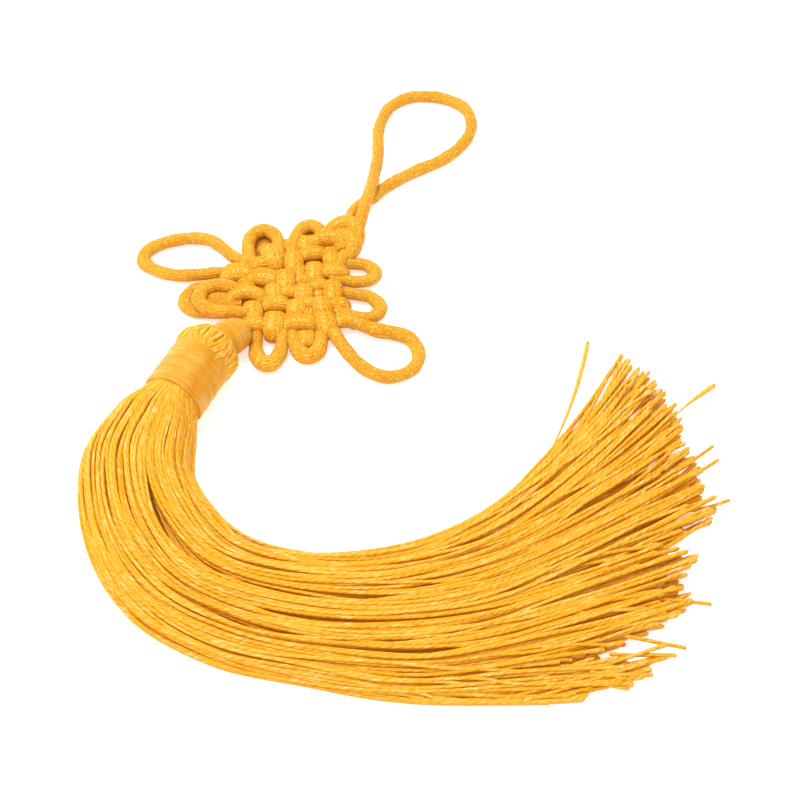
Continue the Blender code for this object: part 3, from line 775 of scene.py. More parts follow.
@dataclass
class EndlessKnot:
    """The woven knot: cords pulled tight over and under each other, and ten ears.

    Attributes:
        left, top, right, foot: Corners of the woven body.
        weave: Which cord shows at each crossing, V one that runs up the page and H one
            that runs across it, with a row for each cross cord from the top.
        back: Middle height, rise and half thickness of the cords that show from below.
        back_shade_tone: How light those cords are painted, 0.5 being as light as the rest and
            less being painted shade.
        over: The lengths of cord that show on top, each with both ends, the height of its
            middle and its half width, from the top row down.
        over_thick: Their half thickness.
        over_rings: Stations along each.
        over_full, back_full, bend_full: How full the sections are on top, below and on bends.
        dive: How far their ends go down.
        tuck: How far their ends go on under the next cord.
        end_shade: How much painted shade darkens their ends, where they dive under the next cord.
        bends: Cords on top that bend.
        fills: What shows inside some ears, down in the shade.
        fill_shade_tone: How light that is painted, less than 0.5 being painted shade.
        bend_rings: Stations along each bend and fill.
        rings, sides: Stations along a cord of the back, and corners round any cord.
        reach: How far the back goes, 1 being the body's edge.
        ears: The loops of cord round the body.
        ear_swell: What their half width is multiplied by.
        ear_rings: Stations for each point of an ear's route.
    """

    left: tuple = (-35.4, 31.6)
    top: tuple = (-13.1, 40.8)
    right: tuple = (-11.3, 18.4)
    foot: tuple = (-31.0, 16.6)
    weave: tuple = ("VVHVHH", "VHVHVV", "HHVHVH", "HVHVHV", "VHVVHV", "HVHHVH")
    back: tuple = (1.4, 0.35, 1.0)
    back_shade_tone: float = 0.12
    over_thick: float = 1.2
    over_rings: int = 25
    over_full: float = 0.8
    back_full: float = 0.82
    bend_full: float = 0.85
    dive: float = 2.1
    tuck: float = 0.7
    end_shade: float = 0.3
    over: tuple = (
        # start x, y, end x, y, height, half width
        (-28.0, 39.9, -25.6, 33.6, 3.2, 1.80), (-23.0, 41.4, -23.1, 38.6, 2.7, 1.45),
        (-19.8, 42.1, -19.6, 38.3, 3.1, 1.70), (-22.2, 37.7, -21.8, 32.5, 3.2, 1.72),
        (-20.3, 37.0, -15.7, 37.6, 3.3, 1.50), (-14.5, 38.0, -14.1, 33.6, 3.0, 1.55),
        (-16.0, 32.2, -11.5, 32.2, 3.2, 1.65), (-36.4, 31.2, -30.6, 32.2, 3.1, 2.10),
        (-30.8, 33.5, -27.3, 35.2, 2.9, 1.45), (-31.0, 30.4, -25.1, 29.9, 3.3, 1.95),
        (-23.6, 32.2, -23.1, 26.5, 3.3, 1.72), (-20.7, 33.2, -20.5, 30.5, 2.9, 1.25),
        (-17.8, 34.6, -17.5, 28.5, 3.2, 1.62), (-21.9, 30.0, -17.9, 30.2, 2.5, 1.45),
        (-32.1, 29.9, -30.5, 26.7, 2.8, 1.35), (-25.9, 28.0, -25.3, 23.7, 3.1, 1.62),
        (-27.4, 22.6, -22.8, 22.8, 3.3, 1.60), (-24.3, 26.3, -21.3, 26.6, 2.8, 1.5),
        (-19.7, 28.0, -19.4, 23.6, 3.2, 1.70), (-18.0, 28.1, -15.3, 28.3, 2.8, 1.45),
        (-13.8, 29.1, -13.5, 23.6, 3.2, 1.64), (-17.9, 26.0, -15.1, 26.3, 2.1, 1.3),
        (-16.4, 38.7, -12.2, 38.9, 2.6, 1.4), (-29.7, 23.2, -29.2, 18.0, 3.2, 1.70),
        (-20.9, 23.6, -20.7, 19.0, 3.1, 1.75), (-19.3, 23.1, -17.3, 23.2, 2.7, 1.30),
        (-15.9, 24.2, -15.4, 20.1, 3.2, 1.72), (-15.4, 20.3, -14.2, 15.4, 3.1, 1.80),
        (-14.2, 23.2, -11.0, 22.7, 2.8, 1.50), (-31.4, 17.1, -27.0, 17.3, 3.1, 1.60),
        (-25.1, 20.6, -25.1, 14.7, 3.0, 1.85), (-23.3, 17.5, -16.5, 17.7, 3.2, 1.60),
        (-18.8, 21.5, -18.7, 19.0, 2.4, 1.60), (-18.8, 16.4, -18.8, 13.0, 1.9, 1.75),
        (-12.7, 18.6, -9.5, 18.8, 2.6, 1.50),
    )
    bends: tuple = (
        (
            # the bent cord at the left: x, y, z, half width, half thickness
            (-35.2, 21.6, 2.4, 1.2, 1.1), (-34.7, 22.9, 2.8, 1.4, 1.2),
            (-33.8, 24.2, 3.4, 1.5, 1.25), (-32.3, 24.9, 3.8, 1.55, 1.25),
            (-30.4, 25.1, 3.9, 1.55, 1.25), (-28.7, 24.6, 3.7, 1.5, 1.2),
            (-27.4, 23.5, 2.8, 1.3, 1.1),
        ),
        (
            # the cord down the right side
            (-11.0, 39.6, 2.0, 1.1, 1.0), (-11.4, 38.4, 2.8, 1.25, 1.1),
            (-11.8, 36.6, 3.0, 1.3, 1.1), (-12.4, 34.6, 2.7, 1.2, 1.1),
            (-12.8, 32.6, 2.0, 1.0, 1.0),
        ),
    )
    fills: tuple = (
        (
            # what shows inside the ears at the top and the left, down in the shade
            (-28.9, 35.0, 1.2, 2.2, 0.9), (-28.8, 39.0, 1.2, 2.4, 0.9),
            (-28.6, 44.2, 1.0, 2.2, 0.85),
        ),
        (
            (-20.4, 37.0, 1.6, 2.2, 1.0), (-20.0, 40.5, 1.6, 2.4, 1.0),
            (-19.3, 45.2, 1.4, 2.2, 0.9),
        ),
        (
            (-32.0, 23.4, 2.4, 2.2, 1.1), (-35.4, 23.5, 3.0, 2.5, 1.3),
            (-38.0, 23.7, 2.9, 2.3, 1.3), (-38.9, 23.8, 2.4, 1.9, 1.1),
        ),
    )
    fill_shade_tone: float = 0.24
    bend_rings: int = 30
    rings: int = 76
    sides: int = 16
    reach: float = 1.0
    ear_swell: float = 1.07
    ear_rings: int = 12
    ears: tuple = (
        (
            # top left: x, y, z, half width, half thickness
            (-29.6, 32.8, 2.6, 1.2, 1.2), (-31.0, 35.8, 2.9, 1.25, 1.25),
            (-31.7, 38.5, 3.0, 1.3, 1.25), (-31.8, 40.9, 3.0, 1.35, 1.25),
            (-30.9, 43.2, 3.1, 1.4, 1.25), (-28.9, 44.3, 3.2, 1.5, 1.25),
            (-26.9, 43.4, 3.1, 1.4, 1.25), (-25.6, 41.2, 3.0, 1.3, 1.25),
            (-25.2, 38.2, 2.9, 1.25, 1.25), (-25.3, 35.0, 2.6, 1.2, 1.2),
        ),
        (
            # top right
            (-22.8, 36.0, 2.6, 1.2, 1.2), (-22.5, 38.8, 2.9, 1.25, 1.25),
            (-22.1, 41.6, 3.0, 1.3, 1.25), (-21.2, 44.2, 3.1, 1.4, 1.25),
            (-19.3, 45.7, 3.2, 1.5, 1.25), (-17.4, 44.8, 3.2, 1.4, 1.25),
            (-16.5, 42.6, 3.1, 1.3, 1.25), (-16.6, 39.8, 2.9, 1.25, 1.25),
            (-17.2, 37.0, 2.6, 1.2, 1.2),
        ),
        (
            # right upper
            (-14.6, 34.6, 2.4, 1.2, 1.2), (-12.0, 35.1, 2.1, 1.2, 1.2),
            (-9.4, 35.5, 1.8, 1.2, 1.2), (-6.8, 35.2, 1.6, 1.3, 1.2),
            (-5.0, 33.0, 1.5, 1.35, 1.2), (-6.4, 30.9, 1.6, 1.3, 1.2),
            (-9.0, 30.2, 1.8, 1.2, 1.2), (-12.0, 30.4, 2.1, 1.2, 1.2),
            (-14.6, 30.4, 2.4, 1.2, 1.2),
        ),
        (
            # right lower
            (-14.6, 26.8, 2.4, 1.2, 1.2), (-12.0, 26.8, 2.1, 1.2, 1.2),
            (-9.0, 26.6, 1.8, 1.2, 1.2), (-6.0, 26.0, 1.6, 1.3, 1.2), (-3.9, 23.2, 1.5, 1.4, 1.2),
            (-5.4, 20.5, 1.6, 1.3, 1.2), (-8.4, 20.1, 1.8, 1.25, 1.2),
            (-11.4, 21.2, 2.2, 1.2, 1.2), (-13.8, 22.6, 2.5, 1.2, 1.2),
        ),
        (
            # bottom left
            (-28.3, 19.6, 2.5, 1.2, 1.2), (-28.4, 16.6, 2.2, 1.2, 1.2),
            (-28.5, 13.6, 1.8, 1.25, 1.25), (-28.2, 10.6, 1.6, 1.45, 1.3),
            (-27.0, 8.4, 1.6, 1.75, 1.3), (-25.3, 8.0, 1.6, 1.8, 1.3),
            (-23.9, 9.8, 1.6, 1.5, 1.3), (-23.3, 12.8, 1.8, 1.25, 1.25),
            (-23.3, 16.2, 2.2, 1.2, 1.2), (-23.3, 19.6, 2.5, 1.2, 1.2),
        ),
        (
            # bottom right
            (-21.4, 20.0, 2.5, 1.2, 1.2), (-21.3, 17.0, 2.2, 1.2, 1.2),
            (-20.9, 13.8, 1.8, 1.3, 1.25), (-19.9, 11.2, 1.6, 1.6, 1.3),
            (-18.0, 9.8, 1.6, 1.75, 1.3), (-16.2, 11.2, 1.6, 1.6, 1.3),
            (-15.6, 14.2, 1.8, 1.3, 1.25), (-15.8, 17.4, 2.2, 1.2, 1.2),
            (-16.2, 20.4, 2.5, 1.2, 1.2),
        ),
        (
            # left outer
            (-32.0, 29.8, 1.6, 1.2, 1.2), (-35.2, 29.6, 1.3, 1.25, 1.2),
            (-38.2, 29.4, 1.3, 1.25, 1.2), (-41.4, 28.8, 1.3, 1.35, 1.2),
            (-43.4, 26.6, 1.3, 1.5, 1.25), (-43.4, 24.0, 1.3, 1.5, 1.25),
            (-41.6, 22.4, 1.3, 1.35, 1.2), (-38.2, 22.0, 1.3, 1.25, 1.2),
            (-34.6, 22.0, 1.3, 1.25, 1.2), (-31.0, 22.6, 1.6, 1.2, 1.2),
        ),
        (
            # left upper
            (-30.6, 24.9, 2.8, 1.2, 1.2), (-32.6, 25.9, 3.7, 1.3, 1.25),
            (-34.6, 26.5, 4.2, 1.4, 1.25), (-37.3, 26.7, 4.4, 1.5, 1.25),
            (-39.6, 25.5, 4.3, 1.5, 1.25), (-40.4, 23.0, 4.2, 1.45, 1.25),
            (-39.0, 20.8, 4.2, 1.4, 1.25), (-36.2, 19.5, 4.2, 1.4, 1.25),
            (-33.0, 19.5, 4.0, 1.35, 1.25), (-30.2, 19.9, 3.2, 1.2, 1.2),
        ),
        (
            # long left
            (-30.0, 34.6, 2.9, 1.2, 1.2), (-33.0, 35.6, 2.8, 1.25, 1.2),
            (-35.2, 37.3, 2.6, 1.25, 1.2), (-37.4, 39.9, 2.3, 1.25, 1.2),
            (-40.2, 42.5, 2.0, 1.35, 1.2), (-44.6, 43.5, 1.6, 1.35, 1.2),
            (-49.5, 42.6, 1.3, 1.35, 1.2), (-53.1, 40.0, 1.3, 1.4, 1.2),
            (-53.5, 36.5, 1.3, 1.4, 1.2), (-50.4, 34.0, 1.3, 1.3, 1.2),
            (-46.4, 32.6, 1.4, 1.3, 1.2), (-42.0, 32.3, 1.8, 1.3, 1.2),
            (-37.6, 32.5, 2.2, 1.25, 1.2), (-33.8, 32.2, 2.6, 1.2, 1.2),
        ),
        (
            # long right
            (-15.4, 19.6, 2.6, 1.2, 1.2), (-13.6, 16.4, 2.4, 1.3, 1.2),
            (-11.7, 12.9, 2.1, 1.3, 1.2), (-9.4, 9.4, 1.8, 1.3, 1.2), (-6.6, 6.5, 1.5, 1.3, 1.2),
            (-3.0, 4.8, 1.3, 1.3, 1.2), (0.3, 5.3, 1.3, 1.2, 1.2), (2.8, 7.3, 1.3, 1.25, 1.2),
            (3.7, 10.9, 1.3, 1.3, 1.2), (2.0, 14.7, 1.4, 1.4, 1.3), (-1.0, 16.0, 1.6, 1.5, 1.35),
            (-4.9, 16.6, 2.0, 1.5, 1.3), (-9.0, 18.4, 2.4, 1.2, 1.2),
            (-12.9, 21.6, 2.6, 1.2, 1.2),
        ),
    )

    def place(self, across: Array, up: Array) -> Array:
        """Places on the woven body, from -1 to 1 each way, in layout millimetres."""
        a, b = ((across + 1) / 2)[..., None], ((up + 1) / 2)[..., None]
        low = np.array(self.foot) * (1 - a) + np.array(self.right) * a
        high = np.array(self.left) * (1 - a) + np.array(self.top) * a
        return low * (1 - b) + high * b

    def level(self, marks: Sequence[bool], at: Array) -> Array:
        """How far a cord is up, 1, or down, -1, at places from -1 to 1 along it."""
        count = len(marks)
        place = np.clip((at + 1) * count / 2 - 0.5, 0.0, count - 1.0)
        i = np.minimum(place.astype(int), count - 2)
        ease = (1 - np.cos(math.pi * (place - i))) / 2
        high = np.where(marks, 1.0, -1.0)
        return high[i] * (1 - ease) + high[i + 1] * ease

    def lengths_on_top(self) -> Sweep:
        """The lengths of cord on top, each an arch whose ends tuck under its neighbours."""
        table = np.array(self.over)
        share = np.linspace(-1, 1, self.over_rings)
        start, end, height, half_width = np.split(table, (2, 4, 5), axis=1)
        ahead = unit(end - start)
        start, end = start - ahead * self.tuck, end + ahead * self.tuck
        blend = ((share + 1) / 2)[None, :, None]
        plan = start[:, None] * (1 - blend) + end[:, None] * blend
        fall = np.abs(share[None]) ** 2.8
        high = np.maximum(height - self.dive * fall, self.over_thick * 0.75)
        half = np.linalg.norm(end - start, axis=1)[:, None] / 2
        stubby = np.clip(2.1 - half / half_width, 0, 1)
        close = np.sqrt(1 - 0.85 * share[None] ** 12)
        wide = half_width * (1.21 - (0.16 + 0.16 * stubby) * fall) * close
        thick = self.over_thick * (1 - 0.25 * fall) * np.ones_like(wide) * close
        # Painted shade: each length is darker towards its ends, where it dives under.
        tone = 0.5 - self.end_shade * fall * np.ones_like(wide)
        return Sweep(np.dstack([plan, high]), wide, thick, tone=tone, fullness=self.over_full)

    def cords(self, layer: tuple, mark: str) -> Sweep:
        """One direction's cords as they show from below.

        Args:
            layer: Middle height, rise and half thickness.
            mark: V for cords up the page, H for cords across it.

        Returns:
            The cords.
        """
        middle, rise, thick = layer
        count = len(self.weave)
        at = np.linspace(-self.reach, self.reach, self.rings)
        nudge = 0.02
        lines, wides, thicks = [], [], []
        for k in range(count):
            own = (2 * k + 1) / count - 1
            here, there = np.full_like(at, own), np.full_like(at, own + nudge)
            if mark == "V":
                marks = [self.weave[count - 1 - n][k] == "V" for n in range(count)]
                plan, beside = self.place(here, at), self.place(there, at)
            else:
                marks = [letter == "H" for letter in self.weave[count - 1 - k]]
                plan, beside = self.place(at, here), self.place(at, there)
            level = -self.level(marks, at)
            pitch = np.linalg.norm(beside - plan, axis=1) / nudge * 2 / count
            out = np.abs(at)
            fall = smoothstep(0.88, self.reach, out)
            wave = 0.04 * np.sin(at * 9 + k * 2.1) + 0.03 * np.sin(at * 17 + k)
            wide = pitch / 2 * (0.90 + 0.07 * level + wave)
            close = np.sqrt(np.clip(1 - smoothstep(0.9, self.reach, out) ** 2, 0.02, 1))
            lines.append(np.column_stack([plan, middle + rise * level - 0.2 * fall]))
            wides.append(wide * close)
            thicks.append(thick * close)
        # Painted shade: the cords that show from below are darkened, so the holes between the
        # lengths on top look dark.
        tone = np.full((count, 1), self.back_shade_tone)
        wide, thick = np.array(wides), np.array(thicks)
        return Sweep(np.array(lines), wide, thick, tone=tone, fullness=self.back_full)

    def build(self, material: bpy.types.Material) -> None:
        """Makes the woven body and the ears."""
        piece = Piece("woven_knot")
        for mark in ("V", "H"):
            piece.add(self.cords(self.back, mark), self.sides)
        piece.add(self.lengths_on_top(), self.sides)
        # Painted shade: the fills inside the ears carry a low tone, so they are darkened as if
        # down in the shade.
        for routes, tone in ((self.bends, None), (self.fills, self.fill_shade_tone)):
            for route in routes:
                sweep = Sweep.of_route(route, self.bend_rings, self.bend_full, tone)
                piece.add(sweep, self.sides)
        piece.finish(material, Slot.CORD, "endless_knot")
        ears = Piece("knot_ears")
        for route in self.ears:
            count = self.ear_rings * len(route)
            sweep = Sweep.of_route(route, count, 1.0)
            swell = 1 + 0.04 * np.sin(np.linspace(0, 4.5 * len(route), count) + len(route))
            sweep.wide = sweep.wide * self.ear_swell * swell
            ears.add(sweep, self.sides)
        ears.finish(material, Slot.CORD)


@dataclass
class WrappedNeck:
    """The lump of wound thread between the knot and the head.

    Attributes:
        start, end: The ends of its middle line, at the knot and in the head.
        rings, sides: Stations along it and corners round it.
        flatness: Its half thickness as a share of its half width.
        profile: Its radius along its length.
    """

    start: tuple = (-30.4, 15.5, 3.6)
    end: tuple = (-36.4, 10.0, 4.1)
    rings: int = 40
    sides: int = 48
    flatness: float = 0.98
    profile: tuple = (
        # share of the length, radius
        (0.0, 1.6), (0.06, 2.5), (0.2, 3.2), (0.45, 3.65), (0.7, 3.7), (0.9, 3.3), (1.0, 2.6),
    )

    def build(self, material: bpy.types.Material) -> None:
        """Makes the lump."""
        share = np.linspace(0, 1, self.rings)
        radius = np.interp(share, *np.array(self.profile).T)[None]
        start, end = np.array(self.start), np.array(self.end)
        line = start + share[:, None] * (end - start)
        piece = Piece("neck_windings")
        piece.add(Sweep(line[None], radius, radius * self.flatness), self.sides)
        piece.finish(material, Slot.WRAP, "neck_wrap")


@dataclass
class BoundAxis:
    """The line through the binding, and the directions round it.

    Attributes:
        start: The binding's end at the head.
        end: Its end at the skirt.
        height: The axis above the floor.
    """

    start: tuple = (-38.05, 4.55)
    end: tuple = (-42.3, -5.15)
    height: float = 6.15

    def __post_init__(self) -> None:
        """Works out the directions."""
        head, foot = np.array([*self.start, self.height]), np.array([*self.end, self.height])
        self.head = head
        self.foot = foot
        self.length = float(np.linalg.norm(head - foot))
        self.beyond = (head - foot) / self.length
        self.up = np.array([0.0, 0.0, 1.0])
        self.right = np.cross(self.beyond, self.up)

    def spot(self, distance: Array, radius: Array, angle: Array) -> Array:
        """Points round the axis.

        Args:
            distance: Millimetres beyond the binding's head end, below 0 inside it.
            radius: Millimetres from the axis.
            angle: Radians from straight up towards the right.

        Returns:
            The points.
        """
        out = np.sin(angle)[..., None] * self.right + np.cos(angle)[..., None] * self.up
        return self.head + distance[..., None] * self.beyond + radius[..., None] * out


@dataclass
class Binding:
    """The wound sleeve, with a crease down one side and a flatter strip past it.

    Attributes:
        axis: The line it is wound round.
        head_radius, foot_radius: Its radius at each end.
        rim: How far its rims are rounded.
        crease: Where the crease runs, in degrees from straight up to the right.
        crease_depth, crease_width: Its depth, and its half width in degrees.
        strip: How far the flatter strip past it is drawn in.
        strip_end: Where the strip ends, in degrees.
        rings, sides: Stations along the sleeve and corners round it.
    """

    axis: BoundAxis
    head_radius: float = 6.05
    foot_radius: float = 6.1
    rim: float = 0.45
    crease: float = 52.0
    crease_depth: float = 0.5
    crease_width: float = 11.0
    strip: float = 0.3
    strip_end: tuple = (75.0, 100.0)
    rings: int = 64
    sides: int = 120

    def build(self, material: bpy.types.Material) -> None:
        """Makes the sleeve from a tube whose sections are then drawn in at the crease."""
        share = np.linspace(0, 1, self.rings)
        run = share * self.axis.length
        radius = self.head_radius + (self.foot_radius - self.head_radius) * share
        from_end = np.minimum(run, self.axis.length - run)
        round_rim = 1 - np.sqrt(np.clip(1 - (1 - from_end / self.rim) ** 2, 0, 1))
        radius = radius - self.rim * round_rim * (from_end < self.rim)
        line = self.axis.head - run[:, None] * self.axis.beyond
        sweep = Sweep(line[None], radius[None], radius[None])
        tube = Tube(self.rings, self.sides)
        points = sweep.points(tube)[0]
        centre = line[tube.ring]
        out = points - centre
        angle = np.degrees(np.arctan2(out @ self.axis.right, out @ self.axis.up))
        off = (angle - self.crease + 4 * np.sin(run[tube.ring] * 0.35)) / self.crease_width
        flat = smoothstep(self.crease, self.crease + 15, angle)
        flat = flat * (1 - smoothstep(*self.strip_end, angle))
        fold = np.exp(-(off**2))
        draw = self.crease_depth * fold + self.strip * flat
        wave = 0.05 * np.sin(run[tube.ring] * 2.1 + np.radians(angle) * 2)
        size = np.linalg.norm(out, axis=1)
        points = centre + out * ((size - draw + wave) / size)[:, None]
        piece = Piece("binding_windings")
        tube.stamp(piece.work, Layout.metres(points), run)
        # Painted shade: the tone is lowered in the crease and down the left side, where shade
        # falls.
        piece.tones.append(0.5 - 0.26 * fold - 0.24 * smoothstep(38, 66, -angle))
        piece.finish(material, Slot.WRAP, "binding")


@dataclass
class TasselHead:
    """The bent yarns between the binding and the neck.

    Attributes:
        axis: The bound part's line.
        profile: Millimetres beyond the binding and from the axis, from inside the binding
            over the crown and down into the dimple.
        layers: Yarns in each layer and how far the layer is drawn in.
        swirl: Radians that a yarn turns round the axis on its way.
        yarn_radius: A yarn's radius.
        rings, sides: Stations along a yarn and corners round it.
        floor: The lowest that a yarn's middle may be.
        seed: Starts the random numbers.
    """

    axis: BoundAxis
    yarn_radius: float = 0.36
    rings: int = 34
    sides: int = 8
    seed: int = 31
    swirl: float = 0.5
    floor: float = 0.42
    profile: tuple = (
        # beyond, radius
        (-1.4, 5.0), (0.0, 5.45), (1.1, 5.95), (2.4, 6.1), (3.6, 5.8), (4.6, 5.0), (5.2, 4.0),
        (5.4, 3.0), (5.0, 2.2),
    )
    layers: tuple = (
        # yarns, drawn in, shortened
        (90, 0.0, 0.0), (80, 0.3, 0.15), (64, 0.7, 0.45),
    )

    def build(self, yarn: bpy.types.Material) -> None:
        """Makes the yarns."""
        rng = np.random.default_rng(self.seed)
        piece = Piece("head_yarns")
        for count, drawn, shortened in self.layers:
            line = evenly([(a, b, 0.0) for a, b in self.profile], self.rings)
            share = np.linspace(0, 1, self.rings)
            angle = np.linspace(0, 2 * math.pi, count, endpoint=False)
            angle = angle + rng.uniform(-0.5, 0.5, count) * 2 * math.pi / count * 0.5
            angle = angle + 0.07 * np.sin(5 * angle + 1.0) + 0.04 * np.sin(11 * angle)
            turn = self.swirl * rng.uniform(0.75, 1.25, count)
            bend = 0.07 * np.sin(share[None] * 7 + rng.uniform(0, 6.3, (count, 1)))
            angles = angle[:, None] + turn[:, None] * (share[None] - 0.3) + bend
            lobes = 0.055 * np.sin(3 * angles + 0.6) + 0.03 * np.sin(7 * angles + 2.0)
            puff = rng.uniform(-0.12, 0.1, (count, 1)) * np.sin(math.pi * share)[None]
            radius = (line[None, :, 1] - drawn) * (1 + lobes) + puff
            beyond = line[None, :, 0] - shortened + 0.6 * puff
            centres = self.axis.spot(beyond, radius, angles)
            centres[..., 2] = np.maximum(centres[..., 2], self.floor)
            around = self.axis.spot(beyond, radius, angles + 0.05) - centres
            size = np.full(centres.shape[:2], self.yarn_radius)
            tone = rng.uniform(0.1, 1.0, (count, 1))
            piece.add(Sweep(centres, size, size, around, tone), self.sides)
        piece.finish(yarn, Slot.YARN)


@dataclass
class Skirt:
    """The long yarns below the binding.

    Attributes:
        axis: The bound part's line.
        yarn_radius: A yarn's radius.
        rings, stray_rings, sides: Stations along a yarn and a stray, and corners round them.
        seed: Starts the random numbers.
        crossers: The share of the upper yarns that cross others.
        cross_size: How far they go, in shares.
        loose: How far yarns wander near the binding, and how much further at the tips.
        paces: Radians of wandering for each section.
        trim: How much longer than their edge yarns are at the most, and how much is cut off.
        tip_section: The section where a yarn's place at the tips is read.
        blunt: The share of a yarn's length in its cut end.
        packed: The radius that the yarns fill inside the binding.
        sections: The skirt's plan from the binding to the cut ends, the inner, middle and
            outer edge, and the height of the pile.
        ends: Where the yarns are cut, in sections, at shares from the inner to the outer edge.
        layers: Yarns in each layer from the lowest up, and the layer's height as a share.
        lower: How many of the layers are the lower piece.
        hanks: How yarns gather: waves across, size, drift for a section, start.
        strays: Single yarns that have left the pile.
        thin_strays: Thin ones with a thicker tip.
        thin: Where a thin yarn thickens, from 0 at its root to 1.6 at its tip.
    """

    axis: BoundAxis
    yarn_radius: float = 0.35
    rings: int = 58
    stray_rings: int = 30
    sides: int = 6
    seed: int = 11
    crossers: float = 0.3
    cross_size: float = 0.11
    loose: tuple = (0.013, 0.032)
    paces: tuple = (0.45, 0.9, 1.7)
    trim: tuple = (0.06, 0.5)
    tip_section: float = 8.8
    blunt: float = 0.0022
    packed: float = 5.0
    lower: int = 3
    hanks: tuple = (
        (5.0, 0.036, 0.55, 0.3), (9.0, 0.020, 0.8, 2.1), (15.0, 0.013, 1.2, 4.0),
        (24.0, 0.007, 1.6, 1.2),
    )
    sections: tuple = (
        # inner x, y, middle x, y, outer x, y, pile height
        (-37.6, -7.4, -43.4, -5.2, -50.2, -2.0, 9.8),
        (-38.2, -11.9, -45.6, -9.8, -54.1, -6.6, 9.4),
        (-37.3, -20.3, -47.6, -18.6, -58.3, -16.2, 7.8),
        (-32.6, -27.2, -44.2, -30.9, -54.9, -33.7, 6.3),
        (-25.8, -33.9, -35.8, -41.6, -45.8, -48.0, 5.5),
        (-12.6, -35.9, -22.4, -47.4, -31.4, -56.8, 5.0),
        (3.2, -33.0, -5.0, -49.4, -16.0, -60.6, 4.6),
        (17.5, -24.5, 14.2, -46.2, -1.0, -63.4, 4.2), (30.7, -9.4, 35.6, -36.6, 14.0, -63.7, 3.6),
        (43.5, 10.6, 58.8, -24.6, 27.8, -63.0, 3.0), (54.2, 29.6, 82.0, -12.6, 41.6, -61.4, 2.6),
    )
    ends: tuple = (
        # share, section
        (-1.0, 8.98), (-0.8, 8.93), (-0.6, 8.84), (-0.45, 8.70), (-0.3, 8.77), (-0.15, 8.74),
        (0.0, 8.86), (0.09, 8.84), (0.12, 8.44), (0.17, 8.42), (0.22, 8.62), (0.3, 8.84),
        (0.4, 8.8), (0.48, 8.92), (0.58, 9.1), (0.66, 9.12), (0.72, 8.84), (0.78, 8.72),
        (0.81, 8.66), (0.88, 9.5), (0.94, 9.6), (1.0, 9.15),
    )
    layers: tuple = (
        # yarns, height share
        (70, 0.02), (68, 0.2), (68, 0.38), (66, 0.56), (64, 0.74), (60, 0.9), (52, 1.0),
    )
    strays: tuple = (
        # x, y, z of single yarns that have left the pile
        ((45.1, -22.1, 2.2), (51.1, -17.7, 2.0), (55.0, -15.0, 1.8), (58.0, -12.5, 1.6)),
        ((45.8, -24.2, 2.0), (51.7, -20.2, 1.8), (55.6, -17.7, 1.5), (58.6, -15.4, 1.2)),
        ((42.5, -29.5, 1.8), (49.0, -27.4, 1.6), (54.5, -26.4, 1.4), (59.2, -24.5, 1.2)),
        ((40.7, -45.3, 1.8), (45.8, -45.5, 1.5), (49.5, -45.7, 1.2), (52.8, -45.9, 0.8)),
        ((36.6, -52.3, 1.6), (40.6, -53.1, 1.4), (44.3, -53.7, 1.0), (47.4, -54.2, 0.7)),
        ((34.5, -55.9, 1.6), (38.7, -55.9, 1.3), (42.2, -55.7, 1.0), (45.6, -55.6, 0.7)),
        ((30.9, -59.2, 1.6), (34.5, -59.4, 1.3), (37.8, -59.4, 1.0), (41.3, -59.2, 0.7)),
        (
            (-40.5, -16.0, 2.4), (-37.4, -20.6, 2.5), (-34.7, -25.4, 2.6), (-31.5, -29.5, 2.5),
            (-28.0, -32.3, 2.1), (-24.0, -34.3, 1.8), (-19.2, -35.6, 1.7), (-13.6, -36.6, 1.6),
            (-7.0, -37.4, 1.2),
        ),
        (
            (-40.8, -16.6, 1.8), (-37.4, -21.8, 1.8), (-34.8, -26.2, 1.9), (-31.5, -30.2, 1.9),
            (-27.9, -33.0, 1.5), (-23.6, -35.0, 1.3), (-18.9, -36.4, 1.2), (-13.0, -37.4, 1.0),
        ),
    )
    thin_strays: tuple = (
        # thin yarns with a thicker tip
        (
            (47.4, -10.7, 2.2), (51.1, -6.2, 2.0), (55.1, -2.1, 1.6), (58.0, 0.6, 1.2),
            (60.7, 3.0, 0.9),
        ),
        (
            (13.6, -29.2, 1.4), (19.9, -24.2, 1.2), (25.7, -17.4, 1.0), (29.1, -10.6, 1.0),
            (31.9, -3.8, 0.9), (34.2, 2.9, 0.8), (36.1, 9.4, 0.8), (37.3, 14.2, 0.8),
        ),
    )
    thin: tuple = (0.5, 1.5)

    def plan(self, at: Array, share: Array) -> tuple[Array, Array]:
        """The skirt's plan and pile.

        Args:
            at: Places along the sections, (n, r).
            share: From -1 at the inner edge to 1 at the outer, (n, r).

        Returns:
            Points in plan, (n, r, 2), and the pile height, (n, r).
        """
        table = spline(np.array(self.sections), at.ravel())
        inner, middle, outer = (table[:, k : k + 2].reshape(*at.shape, 2) for k in (0, 2, 4))
        s = share[..., None]
        plan = inner * (s**2 - s) / 2 + middle * (1 - s**2) + outer * (s**2 + s) / 2
        return plan, table[:, 6].reshape(at.shape)

    def gather(self, share: Array, at: Array, phase: float) -> Array:
        """Draws neighbouring yarns together into hanks, so that slits open between them."""
        shift = np.zeros_like(share)
        for waves, size, drift, turn in self.hanks:
            angle = waves * math.pi * share + drift * at + turn + phase
            coming = 0.5 + 0.5 * np.sin(2.5 * at + turn * 3 + 5 * share)
            shift = shift + size * np.sin(angle) * (0.3 + coming)
        return share + shift * smoothstep(0.6, 3.0, at) * (1 - 0.6 * smoothstep(6.5, 9.0, at))

